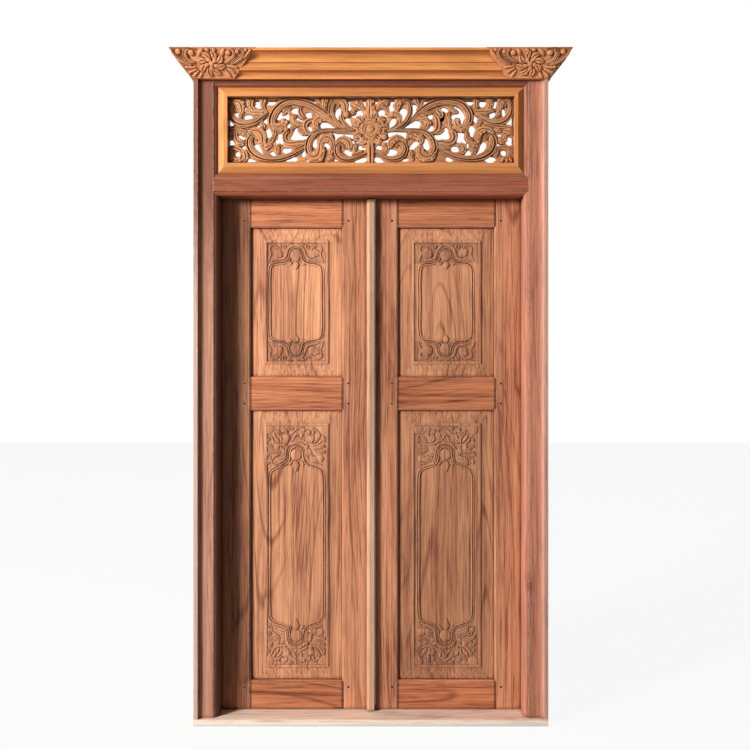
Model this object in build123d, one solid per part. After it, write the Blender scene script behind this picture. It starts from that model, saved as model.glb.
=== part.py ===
# A carved double door in its frame, as made for a temple or an old house: a moulded
# frame on a thin sill, two panelled leaves that turn on wooden pivots, a pierced and
# carved transom above them, and a crown with a carved block at each corner.
#
# Millimetres. X runs across the door, +Y goes from the front face to the back, and
# Z is up. The origin is under the middle of the sill, halfway through the frame.

import math
import os

from build123d import *

# Frame: overall size, rails and openings, from the floor up
FRAME_WIDTH = 1300.0
FRAME_DEPTH = 130.0
SILL_THICKNESS = 25.0
DOORWAY_HEIGHT = 1925.0
TRANSOM_RAIL_HEIGHT = 80.0
TRANSOM_HEIGHT = 319.0
HEAD_HEIGHT = 108.0

# Section that is run round the frame, from its outer edge to the opening
OUTER_FILLET = 15.0
OUTER_QUIRK = 7.0
COVE_WIDTH = 20.0
COVE_DEPTH = 14.0
FLAT_WIDTH = 35.0
INNER_QUIRK = 3.0
OVOLO_WIDTH = 15.0
OVOLO_DEPTH = 11.0

# Leaves: thickness, place in the frame, laps and running gaps
LEAF_THICKNESS = 35.0
LEAF_SETBACK = 87.0
STOP_GAP = 1.5
STOP_LAP = 14.0
SIDE_GAP = 2.0
BOTTOM_GAP = 3.0
TOP_LAP = 12.0
LIFT_GAP = 14.0
CLOSING_EDGE = 12.0
MEETING_GAP = 3.0
LIP_DEPTH = 8.0
LIP_CLEARANCE = 0.5

# Wooden pivots, one at each end of the hanging stiles
PIVOT_RADIUS = 12.0
PIVOT_CLEARANCE = 0.1
TOP_PIVOT_GRIP = 30.0
TOP_SOCKET_SPARE = 14.0
BOTTOM_PIVOT_GRIP = 12.0

# Joinery of a leaf: the panel openings, its rails and the moulding stuck on their edges
LEFT_OPENING_OUTER = 453.0
LEFT_OPENING_INNER = 109.0
RIGHT_OPENING_OUTER = 466.0
RIGHT_OPENING_INNER = 103.0
TOP_RAIL_HEIGHT = 119.0
UPPER_OPENING_HEIGHT = 562.0
LOCK_RAIL_HEIGHT = 128.0
BOTTOM_RAIL_HEIGHT = 108.0
BEAD_WIDTH = 7.0
BEAD_DEPTH = 6.0
BEAD_QUIRK = 1.5
TENON_THICKNESS = 11.0
TENON_LENGTH = 60.0
TENON_SHOULDER = 15.0
PEG_WIDTH = 9.0
PEG_CLEARANCE = 0.1
PEG_SIDES = 8
PEG_INSET = 17.0
PEG_TO_EDGE = 19.0

# Raised panels, measured back from the face of the leaf
GROOVE_SETBACK = 13.0
GROOVE_DEPTH = 12.0
TONGUE_THICKNESS = 10.0
TONGUE_GRIP = 10.0
TONGUE_CLEARANCE = 0.2
PANEL_MARGIN = 51.0
PANEL_END_MARGIN = 48.0
PANEL_BEVEL_RISE = 10.0
PANEL_RIM_WIDTH = 10.0
PANEL_RIM_RISE = 3.0
PANEL_GROUND_DROP = 3.0

# Strip that covers the meeting edges
STRIP_WIDTH = 28.0
STRIP_THICKNESS = 20.0
STRIP_BEVEL_WIDTH = 10.0
STRIP_BEVEL_DEPTH = 9.0
STRIP_END_GAP = 3.0

# Joinery of the frame
FRAME_TENON_THICKNESS = 30.0
FRAME_TENON_LENGTH = 45.0
FRAME_TENON_SHOULDER = 20.0
FOOT_TENON_LENGTH = 15.0

# Transom: a mitred inner frame round one pierced board
TRANSOM_MEMBER = 37.0
TRANSOM_SLOPE_WIDTH = 24.0
TRANSOM_SLOPE_RISE = 15.0
TRANSOM_MEMBER_BACK = 75.0
BOARD_SETBACK = 24.0
BOARD_THICKNESS = 20.0
BOARD_RELIEF = 10.0
BOARD_SPARE = 0.7
OPENING_STEP = 15.0
OPENING_LEAST_AREA = 150.0
BOARD_GRIP = 7.0
BOARD_GROOVE = 8.0
BOARD_CLEARANCE = 0.2

# Crown: its bands from the foot up, then the blocks at its ends
CROWN_FOOT_COVE = 22.0
CROWN_BAND = 24.0
CROWN_UPPER_COVE = 30.0
CROWN_TOP_FILLET = 9.0
CROWN_FOOT_REACH = 22.0
CROWN_BAND_REACH = 34.0
CROWN_REACH = 72.0
CROWN_STEP = 4.0
CROWN_HOUSING = 2.0
BLOCK_FOOT_WIDTH = 154.0
BLOCK_TOP_WIDTH = 308.0
BLOCK_PROUD = 4.0
BLOCK_DEPTH = 45.0
BLOCK_RELIEF = 7.0
RETURN_SHARE = 0.8

# Carving on the panels, and how far all carving is let into its ground
PANEL_RELIEF = 4.5
CARVING_BITE = 1.0

# Faces and levels worked out from the sizes above
FRONT = -FRAME_DEPTH / 2
BACK = FRAME_DEPTH / 2
HALF_WIDTH = FRAME_WIDTH / 2
FLAT_START = HALF_WIDTH - OUTER_FILLET - COVE_WIDTH
FLAT_END = FLAT_START - FLAT_WIDTH
HALF_DOORWAY = FLAT_END - OVOLO_WIDTH
FLAT_Y = FRONT + COVE_DEPTH
REVEAL_Y = FLAT_Y + OVOLO_DEPTH
RAIL_Z = SILL_THICKNESS + DOORWAY_HEIGHT
TRANSOM_Z = RAIL_Z + TRANSOM_RAIL_HEIGHT
HEAD_Z = TRANSOM_Z + TRANSOM_HEIGHT
TOP_Z = HEAD_Z + HEAD_HEIGHT
CROWN_Z = TOP_Z - CROWN_TOP_FILLET - CROWN_UPPER_COVE - CROWN_BAND - CROWN_FOOT_COVE

LEAF_FRONT = FRONT + LEAF_SETBACK
LEAF_BACK = LEAF_FRONT + LEAF_THICKNESS
STOP_Y = LEAF_FRONT - STOP_GAP
HEEL_X = HALF_DOORWAY + STOP_LAP
POCKET_X = HEEL_X + SIDE_GAP
LEAF_FOOT = SILL_THICKNESS + BOTTOM_GAP
LEAF_TOP = RAIL_Z + TOP_LAP
POCKET_TOP = LEAF_TOP + LIFT_GAP
PIVOT_X = HEEL_X - LEAF_THICKNESS / 2
PIVOT_Y = LEAF_FRONT + LEAF_THICKNESS / 2

# The board's carving, drawn on the real one: X from its middle, Z up from 30 mm below the
# transom, out to the half width and between the two heights that are given first.
BOARD_DRAWN_HALF = 535.0
BOARD_DRAWN_FOOT = 60.0
BOARD_DRAWN_TOP = 319.0
BOARD_OPENINGS = [
    # left end
    [(-530, 306), (-518, 305), (-523, 299), (-528, 289), (-531, 292)],
    [(-474, 307), (-464, 305), (-462, 299), (-466, 297)],
    [(-469, 273), (-462, 280), (-461, 271), (-457, 268), (-466, 265)],
    [(-428, 302), (-412, 304), (-410, 292), (-406, 282), (-409, 275), (-419, 275), (-430, 282),
     (-431, 287), (-426, 292)],
    [(-380, 304), (-361, 306), (-340, 308), (-349, 299), (-357, 290), (-366, 286), (-376, 287),
     (-387, 289), (-381, 296)],
    [(-507, 254), (-502, 259), (-490, 260), (-487, 254), (-490, 247), (-490, 239), (-495, 237),
     (-500, 242), (-505, 249)],
    [(-470, 244), (-466, 250), (-454, 252), (-443, 249), (-438, 242), (-435, 235), (-443, 230),
     (-457, 232), (-468, 237)],
    [(-531, 237), (-524, 232), (-518, 228), (-511, 221), (-506, 216), (-519, 210), (-530, 210)],
    [(-350, 237), (-349, 249), (-342, 259), (-333, 266), (-331, 258), (-330, 251), (-316, 251),
     (-309, 256), (-304, 249), (-303, 240), (-307, 232), (-316, 237), (-324, 239), (-335, 235),
     (-342, 232)],
    [(-321, 197), (-314, 208), (-308, 216), (-300, 221), (-299, 215), (-300, 206), (-309, 199),
     (-318, 194)],
    [(-398, 227), (-391, 236), (-386, 238), (-385, 228), (-386, 217), (-392, 220)],
    [(-462, 195), (-452, 197), (-437, 199), (-419, 213), (-413, 215), (-412, 208), (-416, 201),
     (-430, 197), (-442, 193), (-455, 192)],
    [(-393, 190), (-387, 196), (-380, 204), (-373, 194), (-369, 182), (-369, 171), (-374, 166),
     (-385, 168), (-388, 173), (-386, 180), (-390, 187)],
    [(-343, 180), (-328, 180), (-326, 170), (-323, 158), (-321, 149), (-326, 142), (-337, 142),
     (-349, 142), (-352, 149), (-354, 156), (-345, 166)],
    [(-493, 171), (-488, 177), (-478, 173), (-469, 168), (-468, 161), (-473, 158), (-483, 163),
     (-492, 166)],
    [(-531, 152), (-519, 158), (-509, 156), (-506, 147), (-505, 139), (-519, 135), (-530, 136)],
    [(-480, 128), (-473, 135), (-468, 139), (-466, 132), (-462, 127), (-464, 123), (-473, 125)],
    [(-503, 106), (-499, 113), (-492, 115), (-486, 111), (-484, 102), (-490, 96), (-499, 98)],
    [(-433, 130), (-431, 140), (-426, 144), (-419, 143), (-414, 135), (-409, 127), (-404, 116),
     (-397, 104), (-400, 101), (-409, 106), (-419, 115), (-428, 123)],
    [(-375, 108), (-369, 115), (-364, 117), (-359, 113), (-352, 104), (-347, 99), (-357, 96),
     (-369, 101)],
    [(-359, 132), (-352, 137), (-349, 130), (-354, 123), (-357, 125)],
    [(-328, 120), (-323, 128), (-311, 128), (-297, 127), (-295, 118), (-299, 109), (-311, 107),
     (-323, 111)],
    [(-464, 84), (-457, 90), (-447, 90), (-437, 86), (-426, 81), (-443, 77), (-459, 78)],
    [(-316, 82), (-299, 89), (-285, 96), (-276, 94), (-274, 82), (-295, 79), (-314, 79)],
    # left of the flower
    [(-99, 316), (-46, 316), (-48, 302), (-60, 300), (-74, 302), (-78, 296), (-78, 288),
     (-73, 278), (-77, 268), (-81, 266), (-86, 273), (-85, 281), (-82, 286), (-84, 298),
     (-91, 305)],
    [(-38, 316), (-14, 315), (-14, 307), (-20, 298), (-20, 288), (-21, 280), (-25, 289),
     (-30, 302)],
    [(-52, 264), (-45, 272), (-36, 269), (-30, 259), (-32, 247), (-41, 241), (-59, 239),
     (-68, 241), (-71, 247), (-62, 250), (-54, 256)],
    [(-125, 273), (-116, 278), (-112, 268), (-107, 259), (-104, 254), (-107, 247), (-116, 250),
     (-120, 243), (-121, 232), (-124, 229), (-129, 234), (-132, 247), (-132, 259), (-129, 268)],
    [(-93, 239), (-80, 239), (-77, 229), (-73, 216), (-73, 204), (-77, 200), (-84, 204),
     (-91, 213), (-96, 223), (-96, 232)],
    [(-230, 309), (-211, 310), (-206, 304), (-204, 295), (-199, 284), (-209, 289), (-221, 297),
     (-236, 302), (-241, 305)],
    [(-243, 255), (-237, 260), (-222, 260), (-221, 250), (-221, 238), (-224, 234), (-232, 238),
     (-239, 245)],
    [(-186, 218), (-180, 224), (-168, 224), (-157, 221), (-146, 213), (-134, 202), (-139, 201),
     (-184, 202)],
    [(-236, 198), (-233, 207), (-227, 210), (-221, 204), (-219, 197), (-222, 189), (-229, 189)],
    [(-297, 258), (-295, 268), (-285, 276), (-272, 277), (-266, 270), (-267, 258), (-275, 252),
     (-285, 251)],
    [(-275, 241), (-264, 236), (-252, 229), (-254, 219), (-263, 220), (-272, 228)],
    [(-298, 168), (-293, 176), (-287, 188), (-281, 200), (-275, 206), (-266, 204), (-270, 196),
     (-266, 186), (-253, 179), (-234, 175), (-234, 168), (-241, 162), (-253, 159), (-270, 157),
     (-290, 158), (-297, 162)],
    [(-216, 139), (-211, 157), (-204, 163), (-201, 157), (-201, 141), (-196, 134), (-199, 123),
     (-199, 113), (-202, 105), (-207, 107), (-205, 120), (-207, 129), (-214, 132)],
    [(-177, 141), (-168, 148), (-159, 146), (-152, 136), (-146, 127), (-152, 124), (-163, 127),
     (-168, 133), (-175, 135)],
    [(-166, 180), (-159, 183), (-154, 180), (-157, 175), (-161, 170), (-163, 175)],
    [(-141, 185), (-129, 183), (-96, 181), (-75, 180), (-67, 177), (-66, 170), (-70, 161),
     (-79, 166), (-93, 172), (-104, 172), (-116, 163), (-127, 152), (-132, 152), (-132, 164),
     (-136, 177)],
    [(-71, 152), (-67, 158), (-61, 151), (-50, 154), (-41, 146), (-36, 137), (-29, 131),
     (-21, 131), (-20, 125), (-29, 122), (-43, 123), (-46, 132), (-44, 140), (-51, 147),
     (-60, 146), (-67, 142)],
    [(-100, 114), (-95, 122), (-87, 123), (-80, 118), (-70, 114), (-66, 105), (-55, 100),
     (-64, 97), (-80, 99), (-91, 104), (-96, 109)],
    [(-61, 79), (-46, 86), (-32, 92), (-18, 93), (-16, 86), (-18, 79)],
    [(-137, 84), (-134, 88), (-129, 87), (-123, 82), (-127, 80), (-134, 81)],
    [(-257, 105), (-252, 114), (-246, 120), (-242, 109), (-243, 98), (-248, 95), (-254, 97)],
    [(-239, 84), (-237, 88), (-230, 86), (-227, 79), (-238, 79)],
    # right of the flower
    [(8, 316), (32, 316), (30, 308), (26, 300), (20, 291), (16, 296), (12, 306)],
    [(43, 316), (100, 316), (95, 307), (85, 295), (81, 283), (89, 275), (90, 261), (74, 260),
     (69, 268), (68, 281), (74, 298), (72, 303), (58, 304), (45, 295), (42, 305)],
    [(25, 262), (32, 270), (44, 271), (52, 262), (51, 254), (60, 250), (62, 246), (54, 243),
     (47, 246), (38, 245), (28, 250)],
    [(116, 276), (127, 276), (134, 266), (135, 252), (132, 239), (125, 229), (118, 218),
     (113, 215), (108, 222), (108, 232), (109, 247), (104, 257), (109, 268)],
    [(80, 238), (90, 238), (92, 229), (90, 216), (84, 207), (74, 199), (66, 197), (65, 204),
     (67, 214), (71, 225), (74, 232)],
    [(154, 289), (167, 289), (174, 284), (171, 275), (166, 263), (161, 248), (158, 239),
     (152, 239), (150, 247), (152, 257), (155, 268), (154, 279)],
    [(127, 316), (159, 316), (156, 309), (150, 301), (145, 302), (138, 307)],
    [(178, 314), (191, 314), (188, 307), (184, 298), (180, 306)],
    [(209, 314), (270, 315), (252, 307), (234, 302), (216, 295), (206, 286), (193, 276),
     (189, 280), (193, 291), (200, 304), (206, 309)],
    [(124, 201), (176, 201), (180, 207), (184, 218), (181, 227), (172, 231), (161, 230),
     (151, 223), (138, 214), (128, 207)],
    [(207, 239), (211, 247), (220, 253), (231, 253), (237, 250), (231, 241), (220, 234),
     (213, 230), (207, 232)],
    [(211, 204), (218, 211), (227, 212), (233, 206), (231, 197), (224, 191), (215, 191),
     (209, 196)],
    [(252, 225), (259, 239), (268, 245), (274, 239), (272, 229), (261, 222)],
    [(236, 177), (250, 181), (262, 187), (270, 196), (275, 205), (282, 204), (286, 195),
     (288, 183), (291, 172), (288, 162), (280, 160), (243, 160), (238, 167)],
    [(65, 187), (136, 185), (133, 177), (130, 166), (128, 152), (119, 160), (111, 167),
     (100, 171), (86, 170), (78, 164), (71, 154), (66, 143), (60, 148), (50, 149), (42, 145),
     (38, 138), (40, 128), (38, 122), (28, 120), (20, 124), (20, 132), (27, 141), (33, 148),
     (40, 153), (50, 156), (60, 160), (66, 166), (64, 176)],
    [(66, 116), (70, 123), (79, 125), (90, 122), (98, 114), (95, 107), (84, 101), (74, 99),
     (61, 101), (57, 105), (65, 111)],
    [(143, 125), (147, 136), (156, 148), (166, 155), (175, 152), (178, 144), (172, 136),
     (163, 129), (154, 120), (147, 122)],
    [(200, 163), (208, 163), (213, 152), (216, 141), (216, 127), (209, 120), (202, 123),
     (193, 132), (192, 143), (197, 154)],
    [(116, 82), (124, 88), (136, 90), (141, 86), (138, 82)],
    [(15, 93), (22, 96), (33, 92), (43, 84), (48, 79), (15, 78)],
    # right end
    [(258, 270), (265, 278), (274, 279), (283, 274), (288, 265), (290, 258), (283, 257),
     (274, 262)],
    [(319, 315), (377, 315), (381, 300), (379, 293), (367, 286), (363, 286), (354, 295),
     (342, 304), (332, 309)],
    [(304, 285), (312, 287), (323, 283), (332, 278), (340, 271), (347, 262), (349, 250),
     (347, 237), (342, 230), (340, 218), (335, 217), (333, 227), (329, 236), (321, 240),
     (314, 236), (309, 227), (305, 220), (301, 218), (300, 227), (302, 234), (297, 241),
     (298, 246), (305, 253), (318, 256), (326, 258), (321, 267), (312, 274), (307, 279)],
    [(301, 213), (306, 209), (316, 202), (319, 197), (311, 197), (304, 200), (301, 206)],
    [(323, 186), (342, 186), (346, 179), (344, 169), (347, 160), (353, 151), (351, 145),
     (342, 147), (335, 150), (326, 148), (318, 151), (316, 155), (321, 164), (323, 174)],
    [(363, 197), (368, 209), (374, 213), (381, 209), (386, 199), (388, 192), (384, 185),
     (386, 176), (383, 169), (374, 169), (368, 174), (366, 185), (362, 190)],
    [(381, 253), (388, 248), (398, 239), (395, 230), (386, 222), (382, 225), (381, 236),
     (383, 244)],
    [(398, 314), (432, 314), (428, 304), (426, 292), (419, 281), (411, 279), (404, 282),
     (402, 292), (404, 304)],
    [(440, 258), (451, 261), (461, 260), (462, 250), (456, 241), (447, 236), (437, 237),
     (440, 244), (439, 250)],
    [(455, 313), (469, 314), (468, 302), (466, 288), (463, 278), (458, 275), (451, 279),
     (456, 288), (458, 300)],
    [(485, 265), (490, 273), (495, 271), (498, 260), (497, 250), (493, 245), (487, 248),
     (486, 257)],
    [(484, 220), (498, 227), (511, 239), (519, 250), (526, 260), (529, 257), (529, 211),
     (525, 212), (511, 215), (493, 217)],
    [(511, 170), (518, 168), (528, 164), (529, 145), (499, 144), (502, 150), (507, 160)],
    [(468, 143), (474, 146), (479, 139), (476, 132), (467, 128), (463, 129), (467, 136)],
    [(481, 109), (484, 117), (491, 120), (499, 117), (501, 108), (499, 102), (491, 99),
     (485, 102)],
    [(418, 152), (423, 150), (428, 141), (426, 130), (418, 118), (409, 107), (398, 100),
     (388, 99), (386, 102), (395, 111), (402, 123), (405, 134), (411, 144)],
    [(354, 142), (360, 146), (362, 137), (360, 127), (355, 128)],
    [(336, 96), (344, 100), (356, 116), (363, 121), (370, 114), (371, 106), (365, 97),
     (353, 95)],
    [(298, 127), (300, 132), (309, 135), (319, 134), (325, 125), (326, 118), (319, 114),
     (307, 113), (299, 118)],
    [(277, 86), (281, 95), (288, 95), (297, 90), (305, 83), (277, 82)],
    [(421, 83), (426, 90), (435, 95), (447, 96), (460, 92), (463, 83)],
    [(470, 178), (477, 181), (483, 178), (479, 171), (472, 171)],
]
BOARD_STROKES = [
    # left half
    [(-95, 203, 8), (-150, 240, 16), (-205, 279, 20), (-255, 297, 22), (-300, 299, 22),
     (-340, 278, 26), (-364, 240, 26), (-362, 212, 22), (-345, 202, 12)],
    [(-366, 218, 10), (-340, 205, 22), (-316, 222, 10)],
    [(-70, 194, 6), (-115, 212, 16), (-141, 241, 18), (-147, 268, 18), (-136, 295, 12),
     (-120, 290, 6)],
    [(-62, 195, 8), (-140, 194, 12), (-190, 189, 14), (-222, 165, 20), (-232, 130, 22),
     (-222, 103, 20)],
    [(-232, 105, 12), (-205, 93, 26), (-188, 118, 24), (-178, 158, 24), (-145, 150, 10)],
    [(-12, 112, 6), (-60, 90, 16), (-100, 88, 18), (-125, 114, 20), (-120, 138, 14),
     (-102, 130, 6)],
    [(-131, 142, 6), (-104, 160, 20), (-80, 145, 22), (-77, 124, 8)],
    [(-236, 133, 8), (-292, 104, 16), (-350, 87, 18), (-405, 95, 20), (-445, 128, 24),
     (-446, 162, 18), (-424, 165, 6)],
    [(-455, 168, 6), (-430, 190, 20), (-405, 172, 26), (-400, 142, 8)],
    [(-245, 150, 12), (-300, 146, 16), (-322, 168, 14), (-305, 190, 8)],
    [(-382, 257, 8), (-430, 227, 18), (-480, 221, 20), (-516, 246, 20), (-520, 280, 16),
     (-498, 284, 6)],
    [(-516, 288, 6), (-489, 294, 18), (-480, 262, 14), (-481, 236, 6)],
    [(-388, 258, 10), (-401, 285, 16), (-397, 312, 16)],
    # right half
    [(150, 226, 8), (185, 264, 18), (240, 294, 22), (300, 299, 22), (348, 276, 24),
     (363, 238, 24), (345, 206, 14)],
    [(365, 222, 10), (335, 201, 22), (314, 225, 14), (320, 237, 6)],
    [(66, 191, 6), (112, 210, 16), (143, 250, 18), (140, 288, 16), (119, 290, 6)],
    [(62, 193, 8), (140, 194, 12), (195, 187, 16), (230, 150, 22), (224, 106, 20)],
    [(236, 110, 10), (205, 92, 26), (183, 115, 24), (190, 134, 8)],
    [(14, 115, 6), (60, 90, 16), (105, 94, 18), (125, 120, 18), (94, 132, 8)],
    [(130, 148, 6), (100, 165, 20), (74, 148, 20), (73, 128, 8)],
    [(240, 135, 8), (290, 106, 14), (350, 90, 16), (405, 95, 20), (448, 128, 26),
     (446, 168, 18), (425, 162, 6)],
    [(240, 150, 10), (290, 146, 16), (310, 172, 16), (301, 190, 10)],
    [(385, 258, 8), (430, 230, 18), (485, 226, 20), (516, 262, 18), (500, 291, 8)],
    [(514, 299, 6), (488, 303, 20), (478, 268, 10)],
    [(384, 264, 10), (390, 290, 18), (392, 313, 14)],
]
BOARD_FLOWER = (-1.0, 198.0)

# Ornament at each end of a leaf panel: X from its middle, then the distance in from its rim.
# The half of the cartouche's bead comes first; the strokes are repeated on the other side.
PANEL_DRAWN_HALF = 117.0
UPPER_BEAD = [(0, 18), (18, 26), (27, 48), (44, 70), (66, 77), (92, 86), (103, 128)]
UPPER_STROKES = [
    [(-105, 72, 4), (-98, 50, 10), (-97, 22, 14), (-74, 11, 12), (-54, 26, 6)],
    [(-47, 12, 6), (-44, 44, 13), (-64, 63, 6)],
    [(-14, 76, 6), (-26, 83, 14), (-38, 80, 6)],
]
UPPER_MIDDLE = [[(0, 74, 8), (0, 88, 26), (0, 106, 4)]]
UPPER_KNOBS = [(0, 49, 20)]
LOWER_BEAD = [(0, 77), (17, 86), (23, 112), (38, 144), (64, 154), (90, 164), (103, 188)]
LOWER_STROKES = [
    [(-102, 70, 4), (-104, 93, 12), (-82, 104, 12), (-66, 90, 6)],
    [(-92, 20, 6), (-86, 46, 14), (-54, 60, 6)],
    [(-62, 14, 6), (-44, 28, 18), (-28, 58, 6)],
    [(-98, 130, 6), (-78, 118, 16), (-50, 130, 6)],
]
LOWER_MIDDLE = [[(0, 134, 8), (0, 149, 26), (0, 170, 4)]]
LOWER_KNOBS = [(0, 108, 20)]

# Carving on the left crown block: X from the frame's outer edge, then up the sloping face.
BLOCK_DRAWN_SLOPE = 117.6
BLOCK_STROKES = [
    [(18, 113, 6), (-15, 96, 13), (-12, 64, 13), (10, 52, 12), (24, 40, 8)],
    [(-44, 84, 8), (-28, 67, 12), (8, 42, 6)],
    [(22, 30, 6), (-6, 30, 12), (-24, 34, 6)],
    [(24, 24, 6), (6, 17, 12), (-8, 14, 6)],
    [(65, 92, 8), (62, 100, 22), (60, 112, 8)],
    [(100, 86, 8), (108, 97, 22), (112, 110, 8)],
    [(156, 106, 6), (156, 80, 12), (128, 60, 6)],
    [(184, 108, 6), (184, 84, 12), (134, 55, 6)],
    [(136, 48, 6), (156, 46, 14), (172, 42, 6)],
    [(130, 34, 6), (140, 20, 14), (146, 10, 6)],
    [(48, 28, 6), (38, 16, 20), (30, 6, 6)],
]
BLOCK_KNOBS = [(6, 100, 9), (-44, 97, 8), (199, 98, 9), (139, 96, 9)]
BLOCK_FLOWER = (80.0, 52.0)

UPPER_OPENING_TOP = LEAF_TOP - TOP_RAIL_HEIGHT
UPPER_OPENING_FOOT = UPPER_OPENING_TOP - UPPER_OPENING_HEIGHT
LOWER_OPENING_TOP = UPPER_OPENING_FOOT - LOCK_RAIL_HEIGHT
LOWER_OPENING_FOOT = LEAF_FOOT + BOTTOM_RAIL_HEIGHT


def prism(outline, plane, start, end):
    """A closed outline in a plane, drawn out along the plane's normal from start to end."""
    face = plane * make_face(outline)
    return Pos(*(plane.z_dir * start)) * extrude(face, amount=end - start, dir=plane.z_dir)


def box(x0, x1, y0, y1, z0, z1):
    """A box between two corners."""
    return Pos((x0 + x1) / 2, (y0 + y1) / 2, (z0 + z1) / 2) * Box(x1 - x0, y1 - y0, z1 - z0)


def upright(radius, x, y, z0, z1):
    """A round pin or hole that stands between two heights."""
    return Pos(x, y, (z0 + z1) / 2) * Cylinder(radius, z1 - z0)


def mirrored(shape):
    """The same piece on the other side of the door."""
    return mirror(shape, about=Plane.YZ)


def taper(x0, x1, z0, z1, lean_x, lean_z, y0, y1):
    """A block that narrows from y0 to y1, leaning in by its own amount at each side and end."""
    plan = loop([(x0, y0), (x1, y0), (x1 - lean_x, y1), (x0 + lean_x, y1)])
    side = loop([(y0, z0), (y0, z1), (y1, z1 - lean_z), (y1, z0 + lean_z)])
    return prism(plan, Plane.XY, z0, z1) & prism(side, Plane.YZ, x0, x1)


def loop(points):
    """A closed outline of straight edges, without repeated points."""
    kept = [point for i, point in enumerate(points) if point != points[i - 1]]
    return Polyline(*kept, close=True)


def path(points):
    """Straight edges through the points, without repeated points."""
    kept = [point for i, point in enumerate(points) if i == 0 or point != points[i - 1]]
    return Polyline(*kept)


def swell(start, end, corner):
    """An arc between two points of a section, which leaves along its longer side of the corner."""
    from_start = Vector(*corner) - Vector(*start)
    from_end = Vector(*corner) - Vector(*end)
    if from_start.length >= from_end.length:
        return TangentArc(start, end, tangent=from_start)
    return TangentArc(end, start, tangent=from_end)


def flat(corners):
    """A flat face between corners."""
    return Face(Wire.make_polygon(corners, close=True))


def faceted(rings):
    """A solid whose facets join one ring of corners to the next; the first and last close it."""
    facets = [flat(rings[0]), flat(rings[-1])] if rings[0] != rings[-1] else []
    for near, far in zip(rings, rings[1:]):
        for i, corner in enumerate(near):
            facets.append(flat([near[i - 1], corner, far[i]]))
            facets.append(flat([near[i - 1], far[i], far[i - 1]]))
    return Solid(Shell(facets))


def ridge(points, height, place, closed=False):
    """A carved stroke with a crest, along points of X, Z and width; place(x, z, h) raises a point."""
    rings = []
    last = len(points) - 1
    for i, (x, z, width) in enumerate(points):
        before = points[i - 1] if i or closed else points[0]
        after = points[(i + 1) % len(points)] if i < last or closed else points[last]
        along = Vector(after[0] - before[0], after[1] - before[1]).normalized()
        reach_x, reach_z = -along.Y * width / 2, along.X * width / 2
        rings.append([
            place(x + reach_x, z + reach_z, -CARVING_BITE), place(x, z, height),
            place(x - reach_x, z - reach_z, -CARVING_BITE),
        ])
    return faceted(rings + rings[:1] if closed else rings)


def knob(x, z, radius, height, place):
    """A round boss with six sloping sides and a flat top."""
    corners = [(math.cos(math.radians(turn)), math.sin(math.radians(turn))) for turn in range(0, 360, 60)]
    foot = [place(x + radius * c, z + radius * s, -CARVING_BITE) for c, s in corners]
    crown = [place(x + radius * c * 0.5, z + radius * s * 0.5, height) for c, s in corners]
    return faceted([foot, crown])


def spaced(points):
    """The points of an opening that are at least one step of the saw apart."""
    kept = points[:1]
    for point in points[1:]:
        if math.dist(point, kept[-1]) >= OPENING_STEP:
            kept.append(point)
    return kept if math.dist(kept[0], kept[-1]) >= OPENING_STEP / 2 else kept[:-1]


def flower(x, z, petals, start, reach, width, height, place):
    """A ring of ridged petals."""
    ring = []
    for petal in range(petals):
        turn = 2 * math.pi * petal / petals
        c, s = math.sin(turn), math.cos(turn)
        spans = [(start, width * 0.4), ((start + reach) * 0.55, width), (reach, width * 0.2)]
        ring.append(ridge([(x + c * r, z + s * r, w) for r, w in spans], height, place))
    return ring


def both_sides(strokes):
    """Strokes, and the same on the other side of their middle line."""
    return strokes + [[(-x, z, width) for x, z, width in stroke] for stroke in strokes]


def frame_moulding(place):
    """Quirk and ovolo on the frame's inner edge; place(u, y) makes a point u from the opening."""
    quirk_top = place(OVOLO_WIDTH, FLAT_Y)
    quirk_foot = place(OVOLO_WIDTH, FLAT_Y + INNER_QUIRK)
    reveal = place(0, REVEAL_Y)
    ovolo = swell(quirk_foot, reveal, place(0, FLAT_Y + INNER_QUIRK))
    return [path([quirk_top, quirk_foot]), ovolo, path([reveal, place(0, BACK)])]


def jamb_section():
    """Plan of the left post: fillet, cove, flat, quirk and ovolo."""
    outer = -HALF_WIDTH
    cove_top = (outer + OUTER_FILLET, FRONT + OUTER_QUIRK)
    cove_foot = (-FLAT_START, FLAT_Y)
    return [
        path([(outer, BACK), (outer, FRONT), (outer + OUTER_FILLET, FRONT), cove_top]),
        swell(cove_top, cove_foot, (outer + OUTER_FILLET, FLAT_Y)),
        path([cove_foot, (-FLAT_END, FLAT_Y)]),
        *frame_moulding(lambda u, y: (-HALF_DOORWAY - u, y)),
        path([(-HALF_DOORWAY, BACK), (outer, BACK)]),
    ]


def frame_rail(z0, z1, upper_moulded):
    """A frame rail without tenons, moulded below and perhaps above, with mitred moulding."""
    section = frame_moulding(lambda u, y: (y, z0 + u))
    if upper_moulded:
        section += frame_moulding(lambda u, y: (y, z1 - u))
        face_top = z1 - OVOLO_WIDTH
        top_x = HALF_DOORWAY
    else:
        section += [path([(FLAT_Y, z1), (BACK, z1)])]
        face_top = z1
        top_x = FLAT_END
    section += [path([(BACK, z0), (BACK, z1)]), path([(FLAT_Y, z0 + OVOLO_WIDTH), (FLAT_Y, face_top)])]
    right = [(HALF_DOORWAY, z0), (FLAT_END, z0 + OVOLO_WIDTH), (FLAT_END, face_top), (top_x, z1)]
    mitres = loop(right + [(-x, z) for x, z in reversed(right)])
    body = prism(section, Plane.YZ, -FLAT_END, FLAT_END)
    return body & prism(mitres, Plane.XZ, -BACK, -FRONT)


def frame_tenons(z0, z1):
    """The two tenons of a frame rail, between two heights."""
    half = FRAME_TENON_THICKNESS / 2
    tenon = box(HALF_DOORWAY, FLAT_END + FRAME_TENON_LENGTH, -half, half, z0, z1)
    return tenon + mirrored(tenon)


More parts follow.
